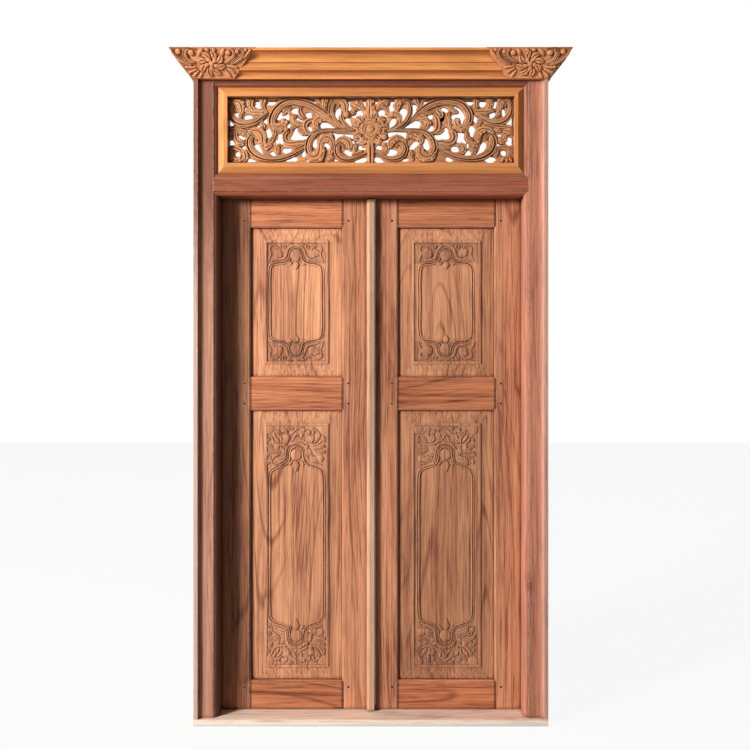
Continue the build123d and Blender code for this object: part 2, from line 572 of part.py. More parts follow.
def transom_rail_tenons():
    """The tenons of the transom rail, above the pockets for the leaves."""
    return frame_tenons(POCKET_TOP + OVOLO_WIDTH, TRANSOM_Z - FRAME_TENON_SHOULDER)


def head_tenons():
    """The tenons of the head."""
    return frame_tenons(HEAD_Z + FRAME_TENON_SHOULDER, TOP_Z - FRAME_TENON_SHOULDER)


def foot_tenon():
    """The stub tenon at the foot of the left post."""
    half = FRAME_TENON_THICKNESS / 2
    return box(-FLAT_START, -FLAT_END, -half, half, SILL_THICKNESS - FOOT_TENON_LENGTH, SILL_THICKNESS)


def transom_rail():
    """The rail over the leaves: rebated for their tops and socketed for their upper pivots."""
    rail = frame_rail(RAIL_Z, TRANSOM_Z, True) + transom_rail_tenons()
    rail -= box(-POCKET_X, POCKET_X, STOP_Y, BACK, RAIL_Z, POCKET_TOP)
    socket_top = POCKET_TOP + TOP_PIVOT_GRIP + TOP_SOCKET_SPARE
    for x in (-PIVOT_X, PIVOT_X):
        rail -= upright(PIVOT_RADIUS + PIVOT_CLEARANCE, x, PIVOT_Y, POCKET_TOP, socket_top)
    return rail


def head():
    """The top rail, cut back where the crown is planted on it."""
    return frame_rail(HEAD_Z, TOP_Z, False) + head_tenons()


def jamb():
    """The left post, with its pocket for the leaf and its mortises."""
    post = prism(jamb_section(), Plane.XY, SILL_THICKNESS, TOP_Z)
    post -= box(-POCKET_X, -HALF_DOORWAY, STOP_Y, BACK, SILL_THICKNESS, POCKET_TOP)
    post -= box(-HALF_WIDTH, -HALF_DOORWAY, FRONT, FLAT_Y, CROWN_Z, TOP_Z)
    post -= box(-HALF_WIDTH, -HALF_WIDTH + CROWN_HOUSING, FRONT, BACK, CROWN_Z, TOP_Z)
    post -= frame_rail(RAIL_Z, TRANSOM_Z, True) + transom_rail_tenons()
    post -= head()
    return post + foot_tenon()


def sill():
    """The board under the frame, with blind sockets for the lower pivots."""
    board = box(-HALF_WIDTH, HALF_WIDTH, FRONT, BACK, 0, SILL_THICKNESS)
    board -= foot_tenon() + mirrored(foot_tenon())
    floor = SILL_THICKNESS - BOTTOM_PIVOT_GRIP
    for x in (-PIVOT_X, PIVOT_X):
        board -= upright(PIVOT_RADIUS + PIVOT_CLEARANCE, x, PIVOT_Y, floor, SILL_THICKNESS)
    return board


def crown_section(back, share=1.0):
    """The crown moulding in Y and Z, reaching forward from y = 0 by a share of its full reach."""
    cove_top = CROWN_Z + CROWN_FOOT_COVE
    band_top = cove_top + CROWN_BAND
    fillet_foot = TOP_Z - CROWN_TOP_FILLET
    foot_reach, band_reach, reach = (
        share * part for part in (CROWN_FOOT_REACH, CROWN_BAND_REACH, CROWN_REACH))
    foot = (0, CROWN_Z)
    foot_end = (-foot_reach, cove_top)
    upper_start = (-band_reach - CROWN_STEP, band_top)
    upper_end = (-reach + CROWN_STEP, fillet_foot)
    return [
        path([(back, TOP_Z), (back, CROWN_Z), foot]),
        swell(foot, foot_end, (0, cove_top)),
        path([foot_end, (-foot_reach - CROWN_STEP, cove_top), (-band_reach, band_top), upper_start]),
        swell(upper_start, upper_end, (-band_reach - CROWN_STEP, fillet_foot)),
        path([upper_end, (-reach, fillet_foot), (-reach, TOP_Z), (back, TOP_Z)]),
    ]


def crown_block():
    """The room that the left end of the crown is scribed to, and the carved block that fills it."""
    foot_outer = -HALF_WIDTH - BLOCK_PROUD
    foot_inner = foot_outer + BLOCK_FOOT_WIDTH
    top_outer = -HALF_WIDTH - CROWN_REACH
    top_inner = top_outer + BLOCK_TOP_WIDTH
    foot_y = FRONT - BLOCK_PROUD
    top_y = foot_y - CROWN_REACH
    back = FRONT + BLOCK_DEPTH
    front_view = loop([(foot_outer, CROWN_Z), (foot_inner, CROWN_Z), (top_inner, TOP_Z), (top_outer, TOP_Z)])
    side_view = loop([(foot_y, CROWN_Z), (back, CROWN_Z), (back, TOP_Z), (top_y, TOP_Z)])
    outline = prism(front_view, Plane.XZ, -back, -top_y + 2 * BLOCK_RELIEF)
    block = outline & prism(side_view, Plane.YZ, top_outer, top_inner)
    block -= box(-HALF_WIDTH + CROWN_HOUSING, 0, FLAT_Y, BACK, CROWN_Z, TOP_Z)

    rise = TOP_Z - CROWN_Z
    slope = math.hypot(rise, CROWN_REACH)
    face = Plane((-HALF_WIDTH, foot_y, CROWN_Z), x_dir=(1, 0, 0), z_dir=(0, -rise, -CROWN_REACH))
    across, up = BLOCK_TOP_WIDTH / 308, slope / BLOCK_DRAWN_SLOPE

    def place(x, z, height):
        return face.from_local_coords((x * across, z * up, height))

    carving = [ridge(stroke, BLOCK_RELIEF, place) for stroke in BLOCK_STROKES]
    carving += [knob(x, z, radius, BLOCK_RELIEF, place) for x, z, radius in BLOCK_KNOBS]
    carving += flower(*BLOCK_FLOWER, 8, 14, 38, 20, BLOCK_RELIEF, place)
    carving.append(knob(*BLOCK_FLOWER, 13, BLOCK_RELIEF, place))
    return outline, (block + carving) & outline


def crown_front(block_outline):
    """The crown moulding across the front, scribed to the two blocks."""
    moulding = prism(crown_section(COVE_DEPTH), Plane.YZ, -HALF_WIDTH, HALF_WIDTH)
    return Pos(0, FRONT, 0) * moulding - block_outline - mirrored(block_outline)


def crown_return():
    """The crown moulding along the left side, from the block to the back of the frame."""
    side = Plane(origin=(-HALF_WIDTH, 0, 0), x_dir=(1, 0, 0), z_dir=(0, -1, 0))
    section = crown_section(CROWN_HOUSING, RETURN_SHARE)
    return prism(section, side, -BACK, -(FRONT + BLOCK_DEPTH))


def transom_member_section():
    """Section of the transom's inner frame: distance in from its outer edge, and Y."""
    face = REVEAL_Y - TRANSOM_SLOPE_RISE
    back = FRONT + TRANSOM_MEMBER_BACK
    groove_front = FRONT + BOARD_SETBACK - BOARD_CLEARANCE
    groove_back = FRONT + BOARD_SETBACK + BOARD_THICKNESS + BOARD_CLEARANCE
    groove = TRANSOM_MEMBER - BOARD_GROOVE
    return [
        (0, REVEAL_Y), (TRANSOM_SLOPE_WIDTH, face), (TRANSOM_MEMBER, face),
        (TRANSOM_MEMBER, groove_front), (groove, groove_front), (groove, groove_back),
        (TRANSOM_MEMBER, groove_back), (TRANSOM_MEMBER, back), (0, back),
    ]


def transom_stile():
    """The left member of the transom's inner frame, mitred at both ends."""
    section = loop([(-HALF_DOORWAY + u, y) for u, y in transom_member_section()])
    inner = -HALF_DOORWAY + TRANSOM_MEMBER
    mitres = loop([
        (-HALF_DOORWAY, TRANSOM_Z), (inner, TRANSOM_Z + TRANSOM_MEMBER),
        (inner, HEAD_Z - TRANSOM_MEMBER), (-HALF_DOORWAY, HEAD_Z),
    ])
    return prism(section, Plane.XY, TRANSOM_Z, HEAD_Z) & prism(mitres, Plane.XZ, -BACK, -FRONT)


def transom_bar(edge, into):
    """The upper or lower member of the transom's inner frame, mitred at both ends."""
    section = loop([(y, edge + into * u) for u, y in transom_member_section()])
    inner = HALF_DOORWAY - TRANSOM_MEMBER
    mitres = loop([
        (-HALF_DOORWAY, edge), (HALF_DOORWAY, edge),
        (inner, edge + into * TRANSOM_MEMBER), (-inner, edge + into * TRANSOM_MEMBER),
    ])
    bar = prism(section, Plane.YZ, -HALF_DOORWAY, HALF_DOORWAY)
    return bar & prism(mitres, Plane.XZ, -BACK, -FRONT)


def transom_carving():
    """The pierced board in the transom: scrolls round a flower, with a border left in the groove."""
    half = HALF_DOORWAY - TRANSOM_MEMBER + BOARD_GRIP
    low = TRANSOM_Z + TRANSOM_MEMBER - BOARD_GRIP
    high = HEAD_Z - TRANSOM_MEMBER + BOARD_GRIP
    front = FRONT + BOARD_SETBACK
    ground = front + BOARD_RELIEF
    back = front + BOARD_THICKNESS
    across = half / BOARD_DRAWN_HALF
    up = (high - low) / (BOARD_DRAWN_TOP - BOARD_DRAWN_FOOT)

    def place(x, z, height):
        return Vector(x * across, ground - height, low + (z - BOARD_DRAWN_FOOT) * up)

    board = box(-half, half, front, back, low, high)
    board -= box(
        -half + BOARD_GRIP, half - BOARD_GRIP, front, ground, low + BOARD_GRIP, high - BOARD_GRIP)
    crest = BOARD_RELIEF - BOARD_SPARE
    carving = [ridge(stroke, crest, place) for stroke in BOARD_STROKES]
    carving += flower(*BOARD_FLOWER, 8, 34, 64, 24, crest * 0.6, place)
    carving += flower(*BOARD_FLOWER, 8, 40, 104, 22, crest * 0.4, place)
    carving.append(knob(*BOARD_FLOWER, 40, crest * 0.9, place))
    board += carving
    saw = []
    for opening in BOARD_OPENINGS:
        corners = [place(x, z, BOARD_RELIEF + BOARD_SPARE) for x, z in spaced(opening)]
        if len(corners) > 2 and flat(corners).area > OPENING_LEAST_AREA:
            saw.append(extrude(flat(corners), amount=BOARD_THICKNESS * 2, dir=(0, 1, 0)))
    return board - saw


def grooved_edge(place):
    """Bead and groove on the edge of a leaf member; place(u, y) makes a point u from the opening."""
    groove_front = LEAF_FRONT + GROOVE_SETBACK - TONGUE_CLEARANCE
    groove_back = LEAF_FRONT + GROOVE_SETBACK + TONGUE_THICKNESS + TONGUE_CLEARANCE
    bead_top = place(BEAD_WIDTH, LEAF_FRONT + BEAD_QUIRK)
    bead_foot = place(0, LEAF_FRONT + BEAD_DEPTH)
    return [
        path([place(BEAD_WIDTH, LEAF_FRONT), bead_top]),
        swell(bead_top, bead_foot, place(0, LEAF_FRONT + BEAD_QUIRK)),
        path([
            bead_foot, place(0, groove_front), place(GROOVE_DEPTH, groove_front),
            place(GROOVE_DEPTH, groove_back), place(0, groove_back), place(0, LEAF_BACK),
        ]),
    ]


def hanging_stile(opening_outer):
    """The left leaf's outer stile, with a round heel and its two pivots."""
    section = grooved_edge(lambda u, y: (-opening_outer - u, y))
    section += [
        path([(-opening_outer, LEAF_BACK), (-PIVOT_X, LEAF_BACK)]),
        ThreePointArc((-PIVOT_X, LEAF_BACK), (-HEEL_X, PIVOT_Y), (-PIVOT_X, LEAF_FRONT)),
        path([(-PIVOT_X, LEAF_FRONT), (-opening_outer - BEAD_WIDTH, LEAF_FRONT)]),
    ]
    stile = prism(section, Plane.XY, LEAF_FOOT, LEAF_TOP)
    stile += upright(PIVOT_RADIUS, -PIVOT_X, PIVOT_Y, LEAF_TOP, POCKET_TOP + TOP_PIVOT_GRIP)
    floor = SILL_THICKNESS - BOTTOM_PIVOT_GRIP
    return stile + upright(PIVOT_RADIUS, -PIVOT_X, PIVOT_Y, floor, LEAF_FOOT)


def meeting_stile(opening_inner, closing_x):
    """The left leaf's inner stile, square at its closing edge."""
    section = grooved_edge(lambda u, y: (-opening_inner + u, y))
    section += [path([
        (-opening_inner, LEAF_BACK), (closing_x, LEAF_BACK),
        (closing_x, LEAF_FRONT), (-opening_inner + BEAD_WIDTH, LEAF_FRONT),
    ])]
    return prism(section, Plane.XY, LEAF_FOOT, LEAF_TOP)


def leaf_rail(x0, x1, z0, z1, lower_moulded, upper_moulded):
    """A leaf's rail between two openings, without tenons, with mitred beads."""
    section = []
    low_face, high_face = z0, z1
    if lower_moulded:
        section += grooved_edge(lambda u, y: (y, z0 + u))
        low_face = z0 + BEAD_WIDTH
    else:
        section += [path([(LEAF_FRONT, z0), (LEAF_BACK, z0)])]
    if upper_moulded:
        section += grooved_edge(lambda u, y: (y, z1 - u))
        high_face = z1 - BEAD_WIDTH
    else:
        section += [path([(LEAF_FRONT, z1), (LEAF_BACK, z1)])]
    section += [path([(LEAF_BACK, z0), (LEAF_BACK, z1)])]
    section += [path([(LEAF_FRONT, low_face), (LEAF_FRONT, high_face)])]
    outer, inner = x0 - BEAD_WIDTH, x1 + BEAD_WIDTH
    low_x0, low_x1 = (x0, x1) if lower_moulded else (outer, inner)
    high_x0, high_x1 = (x0, x1) if upper_moulded else (outer, inner)
    mitres = loop([
        (low_x0, z0), (low_x1, z0), (inner, low_face), (inner, high_face),
        (high_x1, z1), (high_x0, z1), (outer, high_face), (outer, low_face),
    ])
    body = prism(section, Plane.YZ, outer, inner)
    return body & prism(mitres, Plane.XZ, -BACK, -FRONT)


def leaf_tenon_pair(x0, x1, z0, z1, lower_moulded, upper_moulded):
    """The two tenons of a leaf's rail, from groove to groove and on into the stiles."""
    half = TENON_THICKNESS / 2
    low = z0 + (GROOVE_DEPTH if lower_moulded else TENON_SHOULDER)
    high = z1 - (GROOVE_DEPTH if upper_moulded else TENON_SHOULDER)
    outer, inner = x0 - BEAD_WIDTH, x1 + BEAD_WIDTH
    left = box(outer - TENON_LENGTH, x0, PIVOT_Y - half, PIVOT_Y + half, low, high)
    right = box(x1, inner + TENON_LENGTH, PIVOT_Y - half, PIVOT_Y + half, low, high)
    return left + right


def raised_panel(x0, x1, z0, z1, bead, strokes, middle, knobs):
    """A panel with a tongue all round, a bevel rising to a rim, and carving in a sunk ground."""
    tongue_front = LEAF_FRONT + GROOVE_SETBACK
    tongue_back = tongue_front + TONGUE_THICKNESS
    crest = tongue_front - PANEL_BEVEL_RISE
    rim = crest - PANEL_RIM_RISE
    ground = rim + PANEL_GROUND_DROP
    grip, margin, ends = TONGUE_GRIP, PANEL_MARGIN, PANEL_END_MARGIN
    field, field_ends = margin + PANEL_RIM_WIDTH, ends + PANEL_RIM_WIDTH
    panel = box(x0 - grip, x1 + grip, tongue_front, tongue_back, z0 - grip, z1 + grip)
    panel += taper(x0, x1, z0, z1, margin, ends, tongue_front, crest)
    panel += box(x0 + margin, x1 - margin, rim, crest, z0 + ends, z1 - ends)
    panel -= box(x0 + field, x1 - field, rim, ground, z0 + field_ends, z1 - field_ends)

    centre = (x0 + x1) / 2
    scale = (x1 - x0 - 2 * margin) / 2 / PANEL_DRAWN_HALF
    carving = []
    for end, into in ((z0 + ends, 1), (z1 - ends, -1)):
        def place(x, z, height, end=end, into=into):
            return Vector(centre + x * scale, ground - height, end + into * z * scale)

        for stroke in both_sides(strokes) + middle:
            carving.append(ridge(stroke, PANEL_RELIEF, place))
        for x, z, radius in knobs:
            carving.append(knob(x, z, radius, PANEL_RELIEF, place))
    half_bead = [(x * scale, z1 - ends - z * scale) for x, z in bead]
    low_bead = [(x, z0 + z1 - z) for x, z in reversed(half_bead)]
    right = half_bead + low_bead
    left = [(-x, z) for x, z in reversed(right) if x]
    carving.append(ridge(
        [(x, z, BEAD_WIDTH * 2) for x, z in right + left], PANEL_RELIEF,
        lambda x, z, height: Vector(centre + x, ground - height, z), closed=True))
    return panel + carving


def cover_strip():
    """The bevelled strip on the closing edge of the left leaf."""
    x1 = CLOSING_EDGE
    x0 = x1 - STRIP_WIDTH
    front = LEAF_FRONT - STRIP_THICKNESS
    shoulder = front + STRIP_BEVEL_DEPTH
    section = loop([
        (x0, LEAF_FRONT), (x0, shoulder), (x0 + STRIP_BEVEL_WIDTH, front), (x1, front),
        (x1, LEAF_FRONT),
    ])
    return prism(section, Plane.XY, LEAF_FOOT + STRIP_END_GAP, RAIL_Z - STRIP_END_GAP)


def meeting_lip():
    """The lip at the back of the left leaf's closing edge, which shuts the gap between the leaves."""
    end = CLOSING_EDGE + MEETING_GAP - LIP_CLEARANCE
    return box(CLOSING_EDGE, end, LEAF_BACK - LIP_DEPTH, LEAF_BACK, LEAF_FOOT, LEAF_TOP)


def peg(x, z, width):
    """A whittled peg, or the hole that it was driven into, right through a leaf."""
    outline = Pos(x, z) * RegularPolygon(width / 2, PEG_SIDES, major_radius=False)
    return extrude(Plane.XZ * outline, amount=LEAF_BACK - LEAF_FRONT, dir=(0, 1, 0)).moved(Pos(0, LEAF_FRONT, 0))


def peg_places(x0, x1):
    """Where the pegs go through the tenons: X and Z of each."""
    heights = [
        UPPER_OPENING_TOP + BEAD_WIDTH + PEG_TO_EDGE,
        UPPER_OPENING_FOOT - BEAD_WIDTH - PEG_TO_EDGE,
        LOWER_OPENING_TOP + BEAD_WIDTH + PEG_TO_EDGE,
        LOWER_OPENING_FOOT - BEAD_WIDTH - PEG_TO_EDGE,
    ]
    columns = [x0 - BEAD_WIDTH - PEG_INSET, x1 + BEAD_WIDTH + PEG_INSET]
    return [(x, z) for x in columns for z in heights]


def leaf(side, opening_outer, opening_inner, closing_x):
    """All members of one leaf, laid out on the left and named for their side."""
    x0, x1 = -opening_outer, -opening_inner
    rails = {
        "top_rail": (UPPER_OPENING_TOP, LEAF_TOP, True, False),
        "lock_rail": (LOWER_OPENING_TOP, UPPER_OPENING_FOOT, True, True),
        "bottom_rail": (LEAF_FOOT, LOWER_OPENING_FOOT, False, True),
    }
    pieces = {
        "hanging_stile": hanging_stile(opening_outer),
        "meeting_stile": meeting_stile(opening_inner, closing_x),
    }
    for name, levels in rails.items():
        pieces[name] = leaf_rail(x0, x1, *levels) + leaf_tenon_pair(x0, x1, *levels)
        for stile in ("hanging_stile", "meeting_stile"):
            pieces[stile] -= pieces[name]

    pegs = []
    for x, z in peg_places(x0, x1):
        pegs.append(peg(x, z, PEG_WIDTH))
        hole = peg(x, z, PEG_WIDTH + 2 * PEG_CLEARANCE)
        stile = "hanging_stile" if x < x0 else "meeting_stile"
        pieces[stile] -= hole
        for name in rails:
            pieces[name] -= hole

    pieces["upper_panel"] = raised_panel(
        x0, x1, UPPER_OPENING_FOOT, UPPER_OPENING_TOP,
        UPPER_BEAD, UPPER_STROKES, UPPER_MIDDLE, UPPER_KNOBS)
    pieces["lower_panel"] = raised_panel(
        x0, x1, LOWER_OPENING_FOOT, LOWER_OPENING_TOP,
        LOWER_BEAD, LOWER_STROKES, LOWER_MIDDLE, LOWER_KNOBS)
    pieces["pegs"] = Compound(pegs)
    if side == "right":
        pieces = {name: mirrored(piece) for name, piece in pieces.items()}
    return {f"{side}_{name}": piece for name, piece in pieces.items()}


def door():
    """Every piece of the door by name."""
    block_outline, block = crown_block()
    pieces = {
        "sill": sill(),
        "left_jamb": jamb(),
        "right_jamb": mirrored(jamb()),
        "transom_rail": transom_rail(),
        "head": head(),
        "left_crown_block": block,
        "right_crown_block": mirrored(block),
        "crown_front": crown_front(block_outline),
        "left_crown_return": crown_return(),
        "right_crown_return": mirrored(crown_return()),
        "transom_left_moulding": transom_stile(),
        "transom_right_moulding": mirrored(transom_stile()),
        "transom_top_moulding": transom_bar(HEAD_Z, -1),
        "transom_bottom_moulding": transom_bar(TRANSOM_Z, 1),
        "transom_carving": transom_carving(),
        "cover_strip": cover_strip(),
    }
    pieces.update(leaf("left", LEFT_OPENING_OUTER, LEFT_OPENING_INNER, CLOSING_EDGE))
    pieces["left_meeting_stile"] += meeting_lip()
    right_edge = -(CLOSING_EDGE + MEETING_GAP)
    pieces.update(leaf("right", RIGHT_OPENING_OUTER, RIGHT_OPENING_INNER, right_edge))
    return pieces


os.makedirs("parts", exist_ok=True)
for name, piece in door().items():
    export_step(piece, f"parts/{name}.step")
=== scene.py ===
"""Carved teak double door in its moulded frame: the carving and the finishes.

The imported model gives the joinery. This script carves the pierced transom, the crown's corner
blocks and the leaf panels, and gives every piece its wood. The carving is drawn as strokes in
millimetres on the object, or in the unit named beside a list.
"""

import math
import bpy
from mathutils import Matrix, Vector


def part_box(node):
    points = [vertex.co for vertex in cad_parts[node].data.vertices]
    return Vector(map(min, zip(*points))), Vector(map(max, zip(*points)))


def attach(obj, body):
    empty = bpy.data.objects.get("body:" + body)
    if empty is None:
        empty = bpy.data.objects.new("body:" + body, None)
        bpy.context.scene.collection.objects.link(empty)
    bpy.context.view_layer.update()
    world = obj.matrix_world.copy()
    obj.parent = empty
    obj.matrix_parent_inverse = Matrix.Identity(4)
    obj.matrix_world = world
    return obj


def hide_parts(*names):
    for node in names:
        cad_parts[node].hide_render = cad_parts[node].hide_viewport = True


bl_info = {
    "name": "Carved Teak Double Door",
    "version": (1, 0, 0),
    "blender": (4, 5, 0),
    "location": "View3D > Sidebar > Door",
    "description": "Carves and finishes an old double door around its packed joinery",
    "category": "Object",
}

import bmesh
import bpy
from mathutils import Matrix, Vector

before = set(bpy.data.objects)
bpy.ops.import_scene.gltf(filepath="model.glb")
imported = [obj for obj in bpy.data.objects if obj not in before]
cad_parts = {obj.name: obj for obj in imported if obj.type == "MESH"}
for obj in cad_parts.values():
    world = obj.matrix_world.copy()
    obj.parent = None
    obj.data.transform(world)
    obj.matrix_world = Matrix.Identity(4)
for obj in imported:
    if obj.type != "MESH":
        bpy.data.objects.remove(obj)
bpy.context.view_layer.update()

MM = 0.001


# Node helpers

def connect(tree, value, socket):
    """Link a value to a socket if it comes from another node, or else write it there."""
    if isinstance(value, bpy.types.NodeSocket):
        tree.links.new(value, socket)
    else:
        socket.default_value = value


def add(tree, kind, inputs=None, **settings):
    """Add a node, with its settings, and set or link its sockets by name or number."""
    made = tree.nodes.new(kind)
    for name, value in settings.items():
        setattr(made, name, value)
    for name, value in (inputs or {}).items():
        connect(tree, value, made.inputs[name])
    return made


def maths(tree, operation, first, second=0.0, third=0.0, clamp=False):
    """The output of a Math node."""
    values = {0: first, 1: second, 2: third}
    return add(tree, "ShaderNodeMath", values, operation=operation, use_clamp=clamp).outputs[0]


def vectors(tree, operation, first, second):
    """The output of a Vector Math node."""
    made = add(tree, "ShaderNodeVectorMath", {0: first, 1: second}, operation=operation)
    return made.outputs["Value" if operation == "DOT_PRODUCT" else "Vector"]


def remap(tree, value, low, high, to_low=0.0, to_high=1.0):
    """The value moved smoothly from one range to another, and held inside it."""
    sockets = {
        "Value": value, "From Min": low, "From Max": high, "To Min": to_low, "To Max": to_high,
    }
    made = add(tree, "ShaderNodeMapRange", sockets, interpolation_type="SMOOTHSTEP")
    return made.outputs["Result"]


def blend(tree, factor, first, second, mode="MIX"):
    """The colour output of a Mix node."""
    made = add(tree, "ShaderNodeMix", data_type="RGBA", blend_type=mode, clamp_factor=True)
    for place, value in ((0, factor), (6, first), (7, second)):
        connect(tree, value, made.inputs[place])
    return made.outputs[2]


def noise(tree, vector, scale, detail=2.0, roughness=0.5):
    """The value of a noise texture."""
    sockets = {"Vector": vector, "Scale": scale, "Detail": detail, "Roughness": roughness}
    return add(tree, "ShaderNodeTexNoise", sockets).outputs["Fac"]


def drawn_out(tree, vector, scale, shift=(0, 0, 0), detail=3.0, roughness=0.6):
    """Noise with its own scale along each axis, which draws it out along the wood."""
    sockets = {"Vector": vector, "Scale": scale, "Location": shift}
    mapped = add(tree, "ShaderNodeMapping", sockets).outputs["Vector"]
    return noise(tree, mapped, 1.0, detail, roughness)


def new_group(name, inputs, outputs):
    """A shader group with named sockets: the group, its input node and its output node."""
    tree = bpy.data.node_groups.new(name, "ShaderNodeTree")
    for label, kind, default in inputs:
        socket = tree.interface.new_socket(name=label, in_out="INPUT", socket_type=kind)
        if default is not None:
            socket.default_value = default
    for label, kind in outputs:
        tree.interface.new_socket(name=label, in_out="OUTPUT", socket_type=kind)
    return tree, add(tree, "NodeGroupInput").outputs, add(tree, "NodeGroupOutput").inputs


def place_group(tree, group, inputs):
    """The outputs of a group that is placed in a material."""
    made = tree.nodes.new("ShaderNodeGroup")
    made.node_tree = group
    for name, value in inputs.items():
        connect(tree, value, made.inputs[name])
    return made.outputs


def empty_material(name):
    """A material with no nodes yet, and its tree."""
    made = bpy.data.materials.new(name)
    made.use_nodes = True
    made.node_tree.nodes.clear()
    return made, made.node_tree


def seen_white(tree):
    """1 on the rays that should meet a white background: camera, glossy and transmission."""
    path = add(tree, "ShaderNodeLightPath").outputs
    seen = maths(tree, "MAXIMUM", path["Is Camera Ray"], path["Is Glossy Ray"])
    return maths(tree, "MAXIMUM", seen, path["Is Transmission Ray"])


# Effects that the woods share. The wood's tones are shares of its own colour.

EARLY_WOOD = (1.40, 1.50, 1.42, 1)
LATE_WOOD = (0.40, 0.29, 0.27, 1)
# The soiled and shaded tone darkens crevices and recesses: dirt and wax in hollows, and painted
# shade.
SOILED_AND_SHADED_WOOD = (0.24, 0.15, 0.12, 1)
DUST = (0.62, 0.42, 0.34, 1)


def teak_grain_group():
    """Grain that runs along Z: broad tones, cathedral lines, streaks and pores."""
    tree, given, out = new_group(
        "teak grain",
        [
            ("Vector", "NodeSocketVector", None), ("Color", "NodeSocketColor", (0.5, 0.2, 0.1, 1)),
            ("Figure", "NodeSocketFloat", 0.5), ("Streaks", "NodeSocketFloat", 0.5),
            ("Patches", "NodeSocketFloat", 0.4), ("Rings", "NodeSocketFloat", 9.0),
        ],
        [("Color", "NodeSocketColor"), ("Height", "NodeSocketFloat")],
    )
    place = given["Vector"]
    sway = drawn_out(tree, place, (4, 4, 1.3), detail=2.0, roughness=0.5)
    lean = add(tree, "ShaderNodeCombineXYZ", {"X": maths(tree, "MULTIPLY_ADD", sway, 0.03, -0.015)})
    bent = vectors(tree, "ADD", place, lean.outputs[0])
    tone = remap(tree, drawn_out(tree, bent, (16, 16, 0.9), roughness=0.55), 0.3, 0.7)
    rings = drawn_out(tree, bent, (5, 5, 0.6), (3, 5, 1), detail=0.0, roughness=0.4)
    ring_turn = maths(tree, "MULTIPLY", rings, given["Rings"])
    ring_line = remap(tree, maths(tree, "PINGPONG", ring_turn, 0.5), 0.0, 0.14, 1.0, 0.0)
    ring_fade = drawn_out(tree, place, (8, 8, 1.6), (7, 1, 4), detail=2.0, roughness=0.5)
    figure = maths(tree, "MULTIPLY", ring_line, remap(tree, ring_fade, 0.42, 0.62))
    streak = drawn_out(tree, bent, (112, 112, 2.1), detail=4.0, roughness=0.68)
    streak = remap(tree, streak, 0.42, 0.61)
    pores = remap(tree, drawn_out(tree, bent, (240, 240, 7)), 0.52, 0.62)
    patch = remap(tree, drawn_out(tree, place, (6, 6, 2.4), (1, 8, 2)), 0.36, 0.68)
    depth = maths(tree, "MULTIPLY", tone, 0.30)
    for mark, strength, share in ((figure, "Figure", 0.50), (streak, "Streaks", 0.36),
                                  (pores, "Streaks", 0.36), (patch, "Patches", 0.34)):
        mark = maths(tree, "MULTIPLY", mark, given[strength])
        depth = maths(tree, "MULTIPLY_ADD", mark, share, depth)
    early = blend(tree, 1.0, given["Color"], EARLY_WOOD, "MULTIPLY")
    late = blend(tree, 1.0, given["Color"], LATE_WOOD, "MULTIPLY")
    color = blend(tree, depth, early, late)
    dusty = drawn_out(tree, bent, (30, 30, 3.0), (2, 2, 9), detail=4.0, roughness=0.65)
    dusty = maths(tree, "MULTIPLY", remap(tree, dusty, 0.5, 0.75), 0.07)
    color = blend(tree, dusty, color, DUST)
    height = maths(tree, "MULTIPLY_ADD", pores, -0.6, maths(tree, "MULTIPLY", streak, -0.35))
    height = maths(tree, "MULTIPLY_ADD", figure, -0.3, height)
    tree.links.new(color, out["Color"])
    tree.links.new(height, out["Height"])
    return tree


def worn_and_sheen_edge_group():
    """How far an edge stands out, broken up as handling wears it; the pale colour laid there is
    rubbed wood and a painted highlight on ridges.
    """
    tree, given, out = new_group(
        "worn edges",
        [("Vector", "NodeSocketVector", None), ("Width", "NodeSocketFloat", 0.004)],
        [("Mask", "NodeSocketFloat")],
    )
    soft = add(tree, "ShaderNodeBevel", {"Radius": given["Width"]}, samples=4).outputs[0]
    true = add(tree, "ShaderNodeNewGeometry").outputs["Normal"]
    edge = remap(tree, vectors(tree, "DOT_PRODUCT", soft, true), 0.995, 0.86)
    broken = remap(tree, noise(tree, given["Vector"], 46.0, 3.0, 0.6), 0.34, 0.62, 0.25, 1.0)
    tree.links.new(maths(tree, "MULTIPLY", edge, broken, clamp=True), out["Mask"])
    return tree


def crevice_group():
    """How enclosed a spot is, where wax and dirt gather and where painted shade darkens the wood.
    """
    tree, given, out = new_group(
        "crevices",
        [("Reach", "NodeSocketFloat", 0.02), ("Strength", "NodeSocketFloat", 1.0)],
        [("Mask", "NodeSocketFloat")],
    )
    open_sky = add(tree, "ShaderNodeAmbientOcclusion", {"Distance": given["Reach"]}, samples=6)
    shut = remap(tree, open_sky.outputs["AO"], 0.95, 0.42)
    tree.links.new(maths(tree, "MULTIPLY", shut, given["Strength"], clamp=True), out["Mask"])
    return tree


GROUPS = {}


def shared_groups():
    """Build the shared effects once."""
    if not GROUPS:
        GROUPS.update(
            grain=teak_grain_group(), edges=worn_and_sheen_edge_group(), crevices=crevice_group())
    return GROUPS


GRAIN_TURN = {"Z": (0, 0, 0), "X": (0, math.radians(90), 0), "Y": (math.radians(90), 0, 0)}


